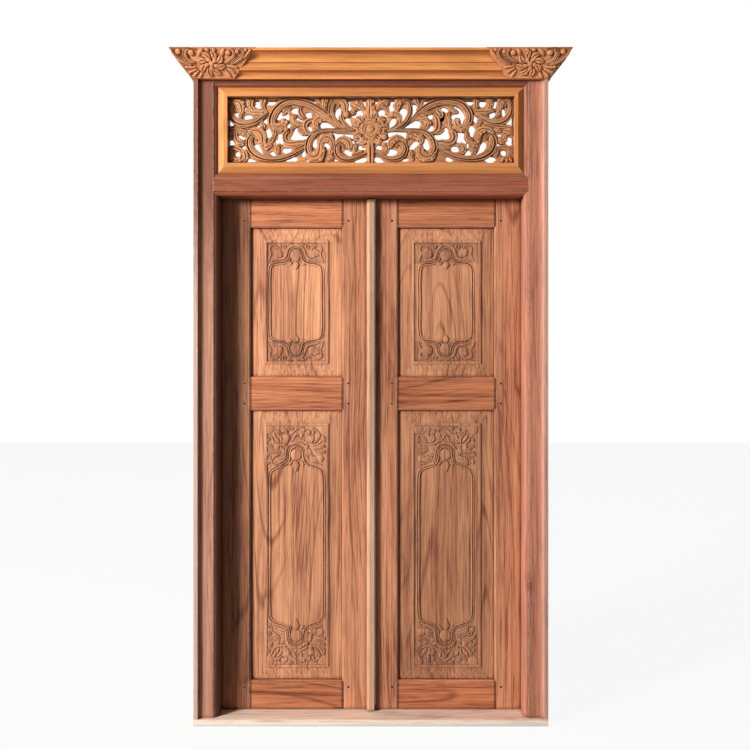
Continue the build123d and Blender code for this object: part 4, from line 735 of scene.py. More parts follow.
# Openings that are sawn through the transom board, going round each: x, and z above 2 m.
TRANSOM_HOLES = [
    # left end
    (-530, 306, -518, 305, -523, 299, -528, 289, -531, 292),
    (-474, 307, -464, 305, -462, 299, -466, 297),
    (-469, 273, -462, 280, -461, 271, -457, 268, -466, 265),
    (-428, 302, -412, 304, -410, 292, -406, 282, -409, 275, -419, 275, -430, 282, -431, 287,
     -426, 292),
    (-380, 304, -361, 306, -340, 308, -349, 299, -357, 290, -366, 286, -376, 287, -387, 289,
     -381, 296),
    (-507, 254, -502, 259, -490, 260, -487, 254, -490, 247, -490, 239, -495, 237, -500, 242,
     -505, 249),
    (-470, 244, -466, 250, -454, 252, -443, 249, -438, 242, -435, 235, -443, 230, -457, 232,
     -468, 237),
    (-531, 237, -524, 232, -518, 228, -511, 221, -506, 216, -519, 210, -530, 210),
    (-350, 237, -349, 249, -342, 259, -333, 266, -331, 258, -330, 251, -316, 251, -309, 256,
     -304, 249, -303, 240, -307, 232, -316, 237, -324, 239, -335, 235, -342, 232),
    (-321, 197, -314, 208, -308, 216, -300, 221, -299, 215, -300, 206, -309, 199, -318, 194),
    (-398, 227, -391, 236, -386, 238, -385, 228, -386, 217, -392, 220),
    (-462, 195, -452, 197, -437, 199, -419, 213, -413, 215, -412, 208, -416, 201, -430, 197,
     -442, 193, -455, 192),
    (-393, 190, -387, 196, -380, 204, -373, 194, -369, 182, -369, 171, -374, 166, -385, 168,
     -388, 173, -386, 180, -390, 187),
    (-343, 180, -328, 180, -326, 170, -323, 158, -321, 149, -326, 142, -337, 142, -349, 142,
     -352, 149, -354, 156, -345, 166),
    (-493, 171, -488, 177, -478, 173, -469, 168, -468, 161, -473, 158, -483, 163, -492, 166),
    (-531, 152, -519, 158, -509, 156, -506, 147, -505, 139, -519, 135, -530, 136),
    (-480, 128, -473, 135, -468, 139, -466, 132, -462, 127, -464, 123, -473, 125),
    (-503, 106, -499, 113, -492, 115, -486, 111, -484, 102, -490, 96, -499, 98),
    (-433, 130, -431, 140, -426, 144, -419, 143, -414, 135, -409, 127, -404, 116, -397, 104,
     -400, 101, -409, 106, -419, 115, -428, 123),
    (-375, 108, -369, 115, -364, 117, -359, 113, -352, 104, -347, 99, -357, 96, -369, 101),
    (-359, 132, -352, 137, -349, 130, -354, 123, -357, 125),
    (-328, 120, -323, 128, -311, 128, -297, 127, -295, 118, -299, 109, -311, 107, -323, 111),
    (-464, 84, -457, 90, -447, 90, -437, 86, -426, 81, -443, 77, -459, 78),
    (-316, 82, -299, 89, -285, 96, -276, 94, -274, 82, -295, 79, -314, 79),
    # left of the flower
    (-99, 316, -46, 316, -48, 302, -60, 300, -74, 302, -78, 296, -78, 288, -73, 278, -77, 268,
     -81, 266, -86, 273, -85, 281, -82, 286, -84, 298, -91, 305),
    (-38, 316, -14, 315, -14, 307, -20, 298, -20, 288, -21, 280, -25, 289, -30, 302),
    (-52, 264, -45, 272, -36, 269, -30, 259, -32, 247, -41, 241, -59, 239, -68, 241, -71, 247,
     -62, 250, -54, 256),
    (-125, 273, -116, 278, -112, 268, -107, 259, -104, 254, -107, 247, -116, 250, -120, 243,
     -121, 232, -124, 229, -129, 234, -132, 247, -132, 259, -129, 268),
    (-93, 239, -80, 239, -77, 229, -73, 216, -73, 204, -77, 200, -84, 204, -91, 213, -96, 223,
     -96, 232),
    (-230, 309, -211, 310, -206, 304, -204, 295, -199, 284, -209, 289, -221, 297, -236, 302,
     -241, 305),
    (-243, 255, -237, 260, -222, 260, -221, 250, -221, 238, -224, 234, -232, 238, -239, 245),
    (-186, 218, -180, 224, -168, 224, -157, 221, -146, 213, -134, 202, -139, 201, -184, 202),
    (-236, 198, -233, 207, -227, 210, -221, 204, -219, 197, -222, 189, -229, 189),
    (-297, 258, -295, 268, -285, 276, -272, 277, -266, 270, -267, 258, -275, 252, -285, 251),
    (-275, 241, -264, 236, -252, 229, -254, 219, -263, 220, -272, 228),
    (-298, 168, -293, 176, -287, 188, -281, 200, -275, 206, -266, 204, -270, 196, -266, 186,
     -253, 179, -234, 175, -234, 168, -241, 162, -253, 159, -270, 157, -290, 158, -297, 162),
    (-216, 139, -211, 157, -204, 163, -201, 157, -201, 141, -196, 134, -199, 123, -199, 113,
     -202, 105, -207, 107, -205, 120, -207, 129, -214, 132),
    (-177, 141, -168, 148, -159, 146, -152, 136, -146, 127, -152, 124, -163, 127, -168, 133,
     -175, 135),
    (-166, 180, -159, 183, -154, 180, -157, 175, -161, 170, -163, 175),
    (-141, 185, -129, 183, -96, 181, -75, 180, -67, 177, -66, 170, -70, 161, -79, 166, -93, 172,
     -104, 172, -116, 163, -127, 152, -132, 152, -132, 164, -136, 177),
    (-71, 152, -67, 158, -61, 151, -50, 154, -41, 146, -36, 137, -29, 131, -21, 131, -20, 125,
     -29, 122, -43, 123, -46, 132, -44, 140, -51, 147, -60, 146, -67, 142),
    (-100, 114, -95, 122, -87, 123, -80, 118, -70, 114, -66, 105, -55, 100, -64, 97, -80, 99,
     -91, 104, -96, 109),
    (-61, 79, -46, 86, -32, 92, -18, 93, -16, 86, -18, 79),
    (-137, 84, -134, 88, -129, 87, -123, 82, -127, 80, -134, 81),
    (-257, 105, -252, 114, -246, 120, -242, 109, -243, 98, -248, 95, -254, 97),
    (-239, 84, -237, 88, -230, 86, -227, 79, -238, 79),
    # right of the flower
    (8, 316, 32, 316, 30, 308, 26, 300, 20, 291, 16, 296, 12, 306),
    (43, 316, 100, 316, 95, 307, 85, 295, 81, 283, 89, 275, 90, 261, 74, 260, 69, 268, 68, 281,
     74, 298, 72, 303, 58, 304, 45, 295, 42, 305),
    (25, 262, 32, 270, 44, 271, 52, 262, 51, 254, 60, 250, 62, 246, 54, 243, 47, 246, 38, 245,
     28, 250),
    (116, 276, 127, 276, 134, 266, 135, 252, 132, 239, 125, 229, 118, 218, 113, 215, 108, 222,
     108, 232, 109, 247, 104, 257, 109, 268),
    (80, 238, 90, 238, 92, 229, 90, 216, 84, 207, 74, 199, 66, 197, 65, 204, 67, 214, 71, 225,
     74, 232),
    (154, 289, 167, 289, 174, 284, 171, 275, 166, 263, 161, 248, 158, 239, 152, 239, 150, 247,
     152, 257, 155, 268, 154, 279),
    (127, 316, 159, 316, 156, 309, 150, 301, 145, 302, 138, 307),
    (178, 314, 191, 314, 188, 307, 184, 298, 180, 306),
    (209, 314, 270, 315, 252, 307, 234, 302, 216, 295, 206, 286, 193, 276, 189, 280, 193, 291,
     200, 304, 206, 309),
    (124, 201, 176, 201, 180, 207, 184, 218, 181, 227, 172, 231, 161, 230, 151, 223, 138, 214,
     128, 207),
    (207, 239, 211, 247, 220, 253, 231, 253, 237, 250, 231, 241, 220, 234, 213, 230, 207, 232),
    (211, 204, 218, 211, 227, 212, 233, 206, 231, 197, 224, 191, 215, 191, 209, 196),
    (252, 225, 259, 239, 268, 245, 274, 239, 272, 229, 261, 222),
    (236, 177, 250, 181, 262, 187, 270, 196, 275, 205, 282, 204, 286, 195, 288, 183, 291, 172,
     288, 162, 280, 160, 243, 160, 238, 167),
    (65, 187, 136, 185, 133, 177, 130, 166, 128, 152, 119, 160, 111, 167, 100, 171, 86, 170,
     78, 164, 71, 154, 66, 143, 60, 148, 50, 149, 42, 145, 38, 138, 40, 128, 38, 122, 28, 120,
     20, 124, 20, 132, 27, 141, 33, 148, 40, 153, 50, 156, 60, 160, 66, 166, 64, 176),
    (66, 116, 70, 123, 79, 125, 90, 122, 98, 114, 95, 107, 84, 101, 74, 99, 61, 101, 57, 105,
     65, 111),
    (143, 125, 147, 136, 156, 148, 166, 155, 175, 152, 178, 144, 172, 136, 163, 129, 154, 120,
     147, 122),
    (200, 163, 208, 163, 213, 152, 216, 141, 216, 127, 209, 120, 202, 123, 193, 132, 192, 143,
     197, 154),
    (116, 82, 124, 88, 136, 90, 141, 86, 138, 82),
    (15, 93, 22, 96, 33, 92, 43, 84, 48, 79, 15, 78),
    # right end
    (258, 270, 265, 278, 274, 279, 283, 274, 288, 265, 290, 258, 283, 257, 274, 262),
    (319, 315, 377, 315, 381, 300, 379, 293, 367, 286, 363, 286, 354, 295, 342, 304, 332, 309),
    (304, 285, 312, 287, 323, 283, 332, 278, 340, 271, 347, 262, 349, 250, 347, 237, 342, 230,
     340, 218, 335, 217, 333, 227, 329, 236, 321, 240, 314, 236, 309, 227, 305, 220, 301, 218,
     300, 227, 302, 234, 297, 241, 298, 246, 305, 253, 318, 256, 326, 258, 321, 267, 312, 274,
     307, 279),
    (301, 213, 306, 209, 316, 202, 319, 197, 311, 197, 304, 200, 301, 206),
    (323, 186, 342, 186, 346, 179, 344, 169, 347, 160, 353, 151, 351, 145, 342, 147, 335, 150,
     326, 148, 318, 151, 316, 155, 321, 164, 323, 174),
    (363, 197, 368, 209, 374, 213, 381, 209, 386, 199, 388, 192, 384, 185, 386, 176, 383, 169,
     374, 169, 368, 174, 366, 185, 362, 190),
    (381, 253, 388, 248, 398, 239, 395, 230, 386, 222, 382, 225, 381, 236, 383, 244),
    (398, 314, 432, 314, 428, 304, 426, 292, 419, 281, 411, 279, 404, 282, 402, 292, 404, 304),
    (440, 258, 451, 261, 461, 260, 462, 250, 456, 241, 447, 236, 437, 237, 440, 244, 439, 250),
    (455, 313, 469, 314, 468, 302, 466, 288, 463, 278, 458, 275, 451, 279, 456, 288, 458, 300),
    (485, 265, 490, 273, 495, 271, 498, 260, 497, 250, 493, 245, 487, 248, 486, 257),
    (484, 220, 498, 227, 511, 239, 519, 250, 526, 260, 529, 257, 529, 211, 525, 212, 511, 215,
     493, 217),
    (511, 170, 518, 168, 528, 164, 529, 145, 499, 144, 502, 150, 507, 160),
    (468, 143, 474, 146, 479, 139, 476, 132, 467, 128, 463, 129, 467, 136),
    (481, 109, 484, 117, 491, 120, 499, 117, 501, 108, 499, 102, 491, 99, 485, 102),
    (418, 152, 423, 150, 428, 141, 426, 130, 418, 118, 409, 107, 398, 100, 388, 99, 386, 102,
     395, 111, 402, 123, 405, 134, 411, 144),
    (354, 142, 360, 146, 362, 137, 360, 127, 355, 128),
    (336, 96, 344, 100, 356, 116, 363, 121, 370, 114, 371, 106, 365, 97, 353, 95),
    (298, 127, 300, 132, 309, 135, 319, 134, 325, 125, 326, 118, 319, 114, 307, 113, 299, 118),
    (277, 86, 281, 95, 288, 95, 297, 90, 305, 83, 277, 82),
    (421, 83, 426, 90, 435, 95, 447, 96, 460, 92, 463, 83),
    (470, 178, 477, 181, 483, 178, 479, 171, 472, 171),
]
SAW_REACH = 100  # past both faces of the board
ARRIS = 1.5


def scrap_object(name, shape):
    """A throwaway object that holds a bmesh."""
    mesh = bpy.data.meshes.new(name)
    shape.to_mesh(mesh)
    shape.free()
    return placed(name, mesh)


def hole_cutters(holes):
    """A mesh of one prism for each opening, its outline a smooth curve through its points."""
    data = bpy.data.curves.new("openings", "CURVE")
    data.dimensions = "2D"
    data.fill_mode = "NONE"
    data.resolution_u = 3
    for hole in holes:
        smooth_spline(data, rows(hole, 2), 0).use_cyclic_u = True
    outline = placed("openings", data)
    mesh = evaluated_mesh(outline)
    cutters = bmesh.new()
    cutters.from_mesh(mesh)
    bpy.data.objects.remove(outline)
    bpy.data.meshes.remove(mesh)
    bmesh.ops.edgenet_fill(cutters, edges=cutters.edges)
    bmesh.ops.translate(cutters, verts=cutters.verts, vec=(0, 0, -SAW_REACH))
    raised = bmesh.ops.extrude_face_region(cutters, geom=cutters.faces)["geom"]
    top = [part for part in raised if isinstance(part, bmesh.types.BMVert)]
    bmesh.ops.translate(cutters, verts=top, vec=(0, 0, 2 * SAW_REACH))
    bmesh.ops.recalc_face_normals(cutters, faces=cutters.faces)
    return cutters


def pierced_board(holes, edges, thickness):
    """A board with openings sawn through it and its front arrises rounded; its front is at 0."""
    x0, x1, z0, z1 = edges
    slab = bmesh.new()
    bar(slab, (x0, z0, -thickness), (x1, z1, 0))
    board = scrap_object("board", slab)
    saw = scrap_object("saw", hole_cutters(holes))
    cut = board.modifiers.new("openings", "BOOLEAN")
    cut.operation = "DIFFERENCE"
    cut.solver = "EXACT"
    cut.object = saw
    mesh = evaluated_mesh(board)
    for scrap in (board, saw):
        bpy.data.objects.remove(scrap)
    sawn = bmesh.new()
    sawn.from_mesh(mesh)
    bpy.data.meshes.remove(mesh)
    bmesh.ops.remove_doubles(sawn, verts=sawn.verts, dist=1e-3)
    arrises = [
        edge for edge in sawn.edges
        if all(abs(vert.co.z) < 1e-3 for vert in edge.verts)
        and all(x0 + 1 < vert.co.x < x1 - 1 for vert in edge.verts)
        and edge.calc_face_angle(0) > 1.0
    ]
    bmesh.ops.bevel(sawn, geom=arrises, offset=ARRIS, segments=2, profile=0.5, material=-1,
                    affect="EDGES", clamp_overlap=False)
    return sawn


# The leaf panels. Each ornament is drawn from the left leaf's, at the top of its field, in
# units of a quarter millimetre: across from the door's left side, then down. The same
# drawing serves the foot upside down, and the right leaf from the other side.

PANEL_UNIT = 0.2527
PANEL_CREST = 1.3  # heights in the drawings are raised by this
PANEL_AXES = {"left": (1, -284.0), "right": (-1, 283.0)}
PANEL_DRAWN_MIDDLE = 833
PANEL_DRAWN_INSET = 65.0  # from the panel's edge to where the drawings start
# The panel in millimetres: from its back to the carved ground, its tongue, how far the groove
# holds it, its plain margins at the sides and at the ends, its rim, and the stained ornament.
PANEL_GROUND = 20.0
PANEL_TONGUE = 10.0
PANEL_GRIP = 10.0
PANEL_MARGIN = 51.0
PANEL_END_MARGIN = 48.0
PANEL_RIM = 10.0
PANEL_RIM_RISE = 3.0
PANEL_RIM_SLOPE = 0.4
ORNAMENT_STAIN = 74.0
# How light each panel's wood is.
PANEL_SHADES = {
    ("left", "upper"): 1.12, ("left", "lower"): 0.98,
    ("right", "upper"): 0.88, ("right", "lower"): 0.78,
}

UPPER_ORNAMENT = [
    ("cord", 1, 0.0, (437, 1210, 64, 437, 720, 64, 450, 662, 62, 495, 628, 60, 560, 613, 60,
        640, 605, 60, 702, 578, 60, 735, 530, 60, 747, 475, 60, 767, 430, 58, 800, 402, 56,
        836, 394, 56, 872, 402, 56, 907, 430, 58, 927, 475, 60, 938, 530, 60, 972, 584, 60,
        1034, 612, 60, 1100, 620, 60, 1162, 632, 60, 1207, 662, 62, 1230, 720, 64, 1232, 1210, 64)),
    ("lobe", 1, 0.0, (470, 588, 20, 540, 566, 34, 612, 556, 40, 668, 530, 42, 692, 480, 42,
        708, 420, 40, 742, 376, 38, 790, 352, 36, 836, 345, 36, 888, 354, 36, 932, 384, 38,
        962, 436, 40, 980, 492, 42, 1004, 540, 42, 1058, 564, 38, 1130, 574, 30, 1180, 600, 18)),
    ("rib", 1, 0.5, (418, 596, 14, 432, 545, 24, 456, 500, 30, 460, 456, 30, 446, 414, 28,
        456, 372, 28, 496, 350, 28, 544, 356, 28, 586, 398, 22, 604, 404, 14)),
    ("rib", 1, 0.5, (1240, 600, 14, 1228, 545, 24, 1206, 500, 30, 1204, 456, 30, 1220, 414, 28,
        1212, 372, 28, 1172, 352, 28, 1124, 358, 28, 1084, 396, 22, 1066, 404, 14)),
    ("lobe", 1, 0.5, (636, 336, 18, 642, 362, 24, 654, 396, 18)),
    ("lobe", 1, 0.5, (672, 336, 18, 678, 360, 24, 690, 386, 18)),
    ("lobe", 1, 0.5, (596, 336, 18, 602, 360, 22, 616, 384, 16)),
    ("rib", 1, 0.5, (1030, 350, 16, 1026, 380, 30, 1004, 398, 22)),
    ("rib", 1, 0.5, (984, 338, 16, 982, 366, 40, 1000, 386, 22)),
    ("lobe", 1, 0.0, (706, 334, 20, 736, 336, 34, 776, 330, 24)),
    ("lobe", 1, 0.0, (806, 330, 14, 838, 322, 24, 870, 330, 14)),
    ("lobe", 1, 0.0, (896, 332, 20, 928, 338, 34, 958, 336, 24)),
    ("lobe", 1, 1.5, (834, 600, 56, 834, 634, 92, 834, 672, 62, 834, 706, 14)),
    ("rib", 1, 4.0, (834, 604, 18, 834, 650, 16, 834, 694, 8)),
    ("rib", 1, 1.0, (776, 604, 30, 744, 628, 40, 712, 620, 36, 702, 594, 26)),
    ("rib", 1, 1.0, (896, 604, 30, 932, 628, 40, 966, 622, 36, 978, 594, 26)),
]
UPPER_BOSSES = [
    (838, 500, 84, 26), (572, 462, 66, 16), (536, 430, 34, 15), (606, 500, 34, 14),
    (1086, 486, 58, 17), (1150, 466, 52, 15), (1120, 430, 34, 13), (1070, 440, 30, 14),
    (738, 606, 26, 14), (944, 606, 26, 14),
]
LOWER_ORNAMENT = [
    ("cord", 1, 0.0, (432, 2110, 62, 432, 1090, 62, 444, 1018, 62, 480, 962, 60, 540, 928, 60,
        612, 906, 60, 680, 874, 60, 716, 828, 60, 728, 768, 60, 732, 704, 60, 750, 654, 58,
        792, 618, 56, 840, 608, 56, 890, 620, 56, 932, 656, 58, 952, 706, 60, 958, 768, 60,
        974, 828, 60, 1010, 878, 60, 1072, 908, 60, 1140, 928, 60, 1198, 958, 62, 1234, 1010, 62,
        1248, 1080, 62, 1250, 2110, 62)),
    ("lobe", 1, 0.0, (640, 846, 20, 672, 806, 34, 686, 748, 38, 690, 690, 38, 708, 634, 38,
        752, 588, 36, 806, 568, 34, 862, 566, 34, 918, 582, 36, 964, 622, 38, 990, 682, 38,
        996, 748, 38, 1008, 806, 34, 1040, 846, 20)),
    ("leaf", 1, 0.5, (520, 372, 30, 560, 392, 60, 610, 424, 40, 636, 440, 16)),
    ("leaf", 1, 1.0, (606, 372, 20, 648, 364, 60, 690, 392, 50, 704, 420, 20)),
    ("leaf", 1, 1.0, (712, 344, 30, 756, 352, 52, 800, 344, 30)),
    ("rib", 1, 0.5, (716, 486, 20, 756, 436, 34, 812, 388, 34, 862, 352, 24)),
    ("leaf", 1, 1.5, (742, 440, 30, 716, 486, 84, 676, 536, 90, 650, 576, 40)),
    ("rib", 1, 0.5, (540, 430, 20, 596, 470, 36, 618, 530, 36, 604, 580, 20)),
    ("rib", 1, 0.5, (506, 420, 18, 520, 470, 40, 560, 520, 40, 590, 566, 20)),
    ("rib", 1, 1.0, (430, 444, 18, 470, 480, 30, 500, 546, 32, 560, 586, 32, 636, 600, 30,
        700, 588, 18)),
    ("leaf", 1, 0.0, (410, 560, 20, 426, 520, 44, 446, 480, 24)),
    ("leaf", 1, 1.0, (412, 620, 40, 448, 606, 56, 470, 640, 50, 520, 668, 50, 574, 662, 36,
        604, 640, 16)),
    ("leaf", 1, 1.0, (408, 764, 30, 432, 712, 52, 490, 700, 52, 556, 700, 46, 606, 668, 24)),
    ("rib", 1, 0.5, (480, 880, 14, 478, 820, 26, 506, 780, 30, 560, 748, 28, 604, 706, 18)),
    ("leaf", 1, 0.5, (420, 890, 20, 434, 830, 50, 456, 786, 40, 470, 770, 16)),
    ("leaf", 1, 1.0, (504, 886, 40, 560, 830, 104, 634, 802, 92, 694, 786, 40)),
    ("leaf", 1, 1.0, (612, 620, 30, 640, 676, 72, 652, 736, 64, 658, 780, 24)),
    ("rib", 1, 0.5, (842, 424, 14, 868, 478, 30, 902, 524, 20)),
    ("rib", 1, 0.5, (934, 424, 18, 918, 470, 34, 894, 510, 20)),
    ("rib", 1, 0.5, (846, 420, 14, 816, 470, 30, 786, 520, 24, 760, 560, 14)),
    ("leaf", 1, 0.5, (866, 366, 24, 904, 352, 40, 946, 372, 40, 966, 396, 18)),
    ("leaf", 1, 1.0, (990, 366, 20, 1024, 396, 66, 1038, 440, 40)),
    ("leaf", 1, 0.5, (1066, 350, 20, 1098, 392, 50, 1092, 440, 30)),
    ("leaf", 1, 0.5, (1090, 340, 20, 1140, 380, 40, 1190, 420, 30)),
    ("rib", 1, 1.0, (858, 548, 20, 912, 530, 34, 976, 560, 34, 1056, 592, 34, 1132, 590, 32,
        1196, 552, 28, 1236, 506, 16)),
    ("leaf", 1, 1.5, (1020, 448, 40, 1044, 500, 96, 1060, 550, 70, 1066, 580, 20)),
    ("rib", 1, 1.0, (1096, 452, 20, 1090, 500, 34, 1082, 560, 20)),
    ("leaf", 1, 0.5, (1206, 436, 24, 1172, 484, 46, 1136, 540, 46, 1112, 572, 20)),
    ("leaf", 1, 0.5, (1240, 450, 24, 1256, 500, 44, 1250, 560, 30)),
    ("leaf", 1, 1.0, (1262, 610, 50, 1200, 620, 70, 1140, 640, 50, 1104, 668, 20)),
    ("leaf", 1, 1.0, (1266, 700, 50, 1206, 700, 60, 1146, 686, 44, 1106, 668, 18)),
    ("leaf", 1, 1.0, (1010, 636, 30, 1030, 690, 74, 1052, 746, 60, 1094, 770, 34, 1110, 744, 14)),
    ("leaf", 1, 1.0, (1030, 806, 40, 1088, 812, 84, 1150, 820, 70, 1180, 840, 30)),
    ("leaf", 1, 0.5, (1120, 870, 24, 1180, 880, 30, 1226, 900, 16)),
    ("lobe", 1, 1.5, (834, 842, 56, 834, 896, 94, 834, 956, 62, 834, 998, 14)),
    ("rib", 1, 4.0, (834, 848, 18, 834, 920, 16, 834, 984, 8)),
    ("rib", 1, 1.0, (772, 846, 26, 742, 880, 44, 732, 902, 24)),
    ("rib", 1, 1.0, (898, 846, 26, 934, 872, 44, 944, 904, 24)),
]
LOWER_BOSSES = [
    (842, 742, 88, 28), (424, 356, 84, 13), (1250, 360, 78, 13), (690, 480, 44, 18),
    (552, 630, 46, 15), (640, 690, 30, 16), (1042, 496, 44, 18), (1000, 620, 28, 18),
    (1200, 800, 56, 17), (1036, 690, 30, 16), (446, 836, 28, 14), (570, 822, 36, 16),
    (1110, 806, 36, 16), (952, 372, 26, 17), (1024, 400, 30, 16), (640, 390, 28, 16),
]
# Each ornament's strokes and bosses, and the level of the rim that it was drawn from.
ORNAMENTS = {
    "upper": (UPPER_ORNAMENT, UPPER_BOSSES, 302), "lower": (LOWER_ORNAMENT, LOWER_BOSSES, 300),
}


def inset_face(board, face, across, along, raised):
    """Inset a rectangular face by its own amount at the sides and at the ends, and raise it."""
    bmesh.ops.inset_region(board, faces=[face], thickness=0.001, depth=raised,
                           use_even_offset=True)
    middle = face.calc_center_median()
    for vert in face.verts:
        vert.co.x += (across if vert.co.x < middle.x else -across)
        vert.co.y += (along if vert.co.y < middle.y else -along)


def panel_board(x0, x1, z0, z1):
    """The raised panel under its carving; its carved ground is at height 0."""
    board = bmesh.new()
    tongue = PANEL_TONGUE - PANEL_GROUND
    bar(board, (x0, z0, -PANEL_GROUND), (x1, z1, tongue))
    face = max(board.faces, key=lambda f: f.calc_center_median().z)
    rim = PANEL_RIM - 2 * PANEL_RIM_SLOPE
    for across, along, raised in (
            (PANEL_GRIP, PANEL_GRIP, 0.0), (PANEL_MARGIN, PANEL_END_MARGIN, -tongue),
            (PANEL_RIM_SLOPE, PANEL_RIM_SLOPE, PANEL_RIM_RISE), (rim, rim, 0.0),
            (PANEL_RIM_SLOPE, PANEL_RIM_SLOPE, -PANEL_RIM_RISE)):
        inset_face(board, face, across, along, raised)
    edges = [edge for edge in board.edges
             if all(vert.co.z > PANEL_RIM_RISE - 0.01 for vert in edge.verts)]
    bmesh.ops.bevel(board, geom=edges, offset=1.1, segments=2, profile=0.5, material=-1,
                    affect="EDGES", clamp_overlap=True)
    return board


def drawn_to_panel(axis_x, rim_z, drawn_rim, side, down):
    """Matrix from an ornament's drawing to millimetres on a leaf: across, up and height."""
    scale = (PANEL_UNIT * side, -PANEL_UNIT * down, PANEL_UNIT * PANEL_CREST, 1)
    return (Matrix.Translation((axis_x, rim_z, 0)) @ Matrix.Diagonal(scale)
            @ Matrix.Translation((-PANEL_DRAWN_MIDDLE, -drawn_rim, 0)))


# The crown's corner blocks, drawn from the left one: x, and millimetres up the sloping face.
BLOCK_STROKES = [
    ("band", -1, 1.0, (-626, 111, 9, -646, 115, 13, -664, 103, 17, -667, 84, 18, -655, 67, 16,
        -636, 58, 12)),
    ("band", 1, 1.0, (-713, 110, 8, -704, 92, 13, -690, 76, 16, -672, 63, 16, -648, 53, 12)),
    ("rib", 1, 0.5, (-632, 43, 7, -652, 42, 12, -670, 44, 12)),
    ("rib", 1, 0.5, (-630, 36, 7, -648, 28, 12, -662, 22, 12)),
    ("rib", 1, 0.5, (-624, 30, 7, -638, 17, 12, -647, 8, 11)),
    ("rib", 1, 0.5, (-614, 24, 7, -619, 13, 12, -625, 5, 11)),
    ("lobe", 1, 0.5, (-620, 86, 10, -612, 100, 18, -602, 110, 12)),
    ("lobe", 1, 0.5, (-534, 86, 10, -531, 100, 16, -524, 110, 11)),
    ("band", 1, 1.0, (-497, 113, 8, -488, 100, 13, -492, 83, 16, -508, 69, 15, -526, 60, 10)),
    ("band", -1, 1.0, (-466, 112, 8, -457, 102, 13, -464, 83, 16, -482, 67, 15, -506, 54, 10)),
    ("rib", 1, 0.5, (-430, 108, 9, -442, 92, 13, -456, 78, 10)),
    ("rib", 1, 0.5, (-520, 48, 7, -500, 45, 12, -484, 42, 11)),
    ("rib", 1, 0.5, (-522, 40, 7, -507, 31, 12, -496, 22, 11)),
    ("rib", 1, 0.5, (-528, 32, 7, -519, 18, 12, -512, 8, 11)),
]
BLOCK_BOSSES = [
    (-643, 97, 12, 10, 0), (-689, 101, 11, 9, 0), (-446, 107, 7, 6, 0), (-511, 96, 11, 9, 0),
    (-575, 56, 10, 9, 3), (-478, 101, 8, 7, 0), (-584, 108, 8, 6, 0), (-560, 108, 8, 6, 0),
]
# The flower's middle, and its rings: section, petals, turn, reach from and to, width and lift.
BLOCK_FLOWER = (-575, 56)
BLOCK_PETALS = (("stem", 8, 0.2, 22, 47, 24, 1.5), ("lobe", 5, 0.6, 9, 25, 16, 3.5))
# The left block: across at foot and top, front at foot and top, back behind the crown, back at
# the side, the post's side, and the levels of foot and top.
BLOCK_FOOT = (-654, -500)
BLOCK_TOP = (-722, -414)
BLOCK_FRONT = (-69, -141)
BLOCK_CUT = -51
BLOCK_BACK = -20
POST_SIDE = -648
BLOCK_LEVELS = (2372, 2457)
BLOCK_DRAWN_SLOPE = 117.6
BLOCK_DRAWN_TOP = 112.5


def block_flower():
    """The whorled flower on a corner block: an outer ring of petals and an inner curl."""
    petals = []
    for section, count, turn, near, far, width, lift in BLOCK_PETALS:
        steps = [(0.45 * step, near + (far - near) * step, width * share)
                 for step, share in ((0, 0.5), (0.45, 1.0), (1.0, 0.55))]
        petals += [
            curl(section, 1, lift, BLOCK_FLOWER, turn + number * 2 * math.pi / count, steps)
            for number in range(count)]
    return petals


def block_body():
    """The leaning block behind the carving: its front part, and the part that wraps the side."""
    block = bmesh.new()
    parts = (((BLOCK_FOOT[1], BLOCK_TOP[1]), BLOCK_CUT), ((POST_SIDE, POST_SIDE), BLOCK_BACK))
    for inner, back in parts:
        piece = bmesh.new()
        bmesh.ops.create_cube(piece, size=2.0)
        for vert in piece.verts:
            level = int(vert.co.z > 0)
            outer = (BLOCK_FOOT[0], BLOCK_TOP[0])[level]
            vert.co.x = inner[level] if vert.co.x > 0 else outer
            vert.co.y = back if vert.co.y > 0 else BLOCK_FRONT[level]
            vert.co.z = BLOCK_LEVELS[level]
        bmesh.ops.scale(piece, vec=(MM, MM, MM), verts=piece.verts)
        join(block, piece)
        piece.free()
    return block


def slope_place():
    """Drawing millimetres to the door for a block's face: across, up the slope, outwards."""
    (y_foot, y_top), (z_foot, z_top) = BLOCK_FRONT, BLOCK_LEVELS
    rise = Vector((0, y_top - y_foot, z_top - z_foot))
    up = rise.length / BLOCK_DRAWN_SLOPE
    rise = rise.normalized()
    return Matrix((
        (MM, 0, 0, 0),
        (0, rise.y * up * MM, -rise.z * MM, y_foot * MM),
        (0, rise.z * up * MM, rise.y * MM, z_foot * MM),
        (0, 0, 0, 1),
    ))


# The camera, the key light and the fill, in metres and watts.
SENSOR = 36.0
CAMERA_REACH = 790 / 750  # focal length, in widths of the picture
CAMERA_PLACE = (0.015, -2.958, 1.287)
KEY_SIZE = 2.2
KEY_POWER = 905
KEY_AIM = (0, 0, 1.2)
KEY_AWAY = 8.0
KEY_TURN = math.radians(53)
KEY_RISE = math.radians(16)
FILL = 0.045
# Colours of stained and bare wood, a painted shade, and tints that warm a wood's own colour.
PALE_WOOD = (0.84, 0.64, 0.54)
BARE_WOOD = (0.98, 0.93, 0.88)
DARK_JAMB = (0.25, 0.09, 0.052)
JAMB_PAINTED_SHADE = (0.10, 0.035, 0.022)
SHOULDER_DIRT = (0.07, 0.022, 0.012)
CARVING_WAX = (0.20, 0.07, 0.04)
PEG_WOOD = (0.07, 0.025, 0.012)
WARM_JAMB = (0.98, 0.81, 0.77)
WARM_RAIL = (1.02, 0.87, 0.76)
# How far the moulding covers the edge of the transom board, in millimetres.
EDGE_GRIP = 7.0


def tinted(color, tint):
    """A colour, each part times the tint's."""
    return tuple(part * share for part, share in zip(color, tint))


def group_of(context):
    """The user's finishes and sizes."""
    return context.scene.door_finishes


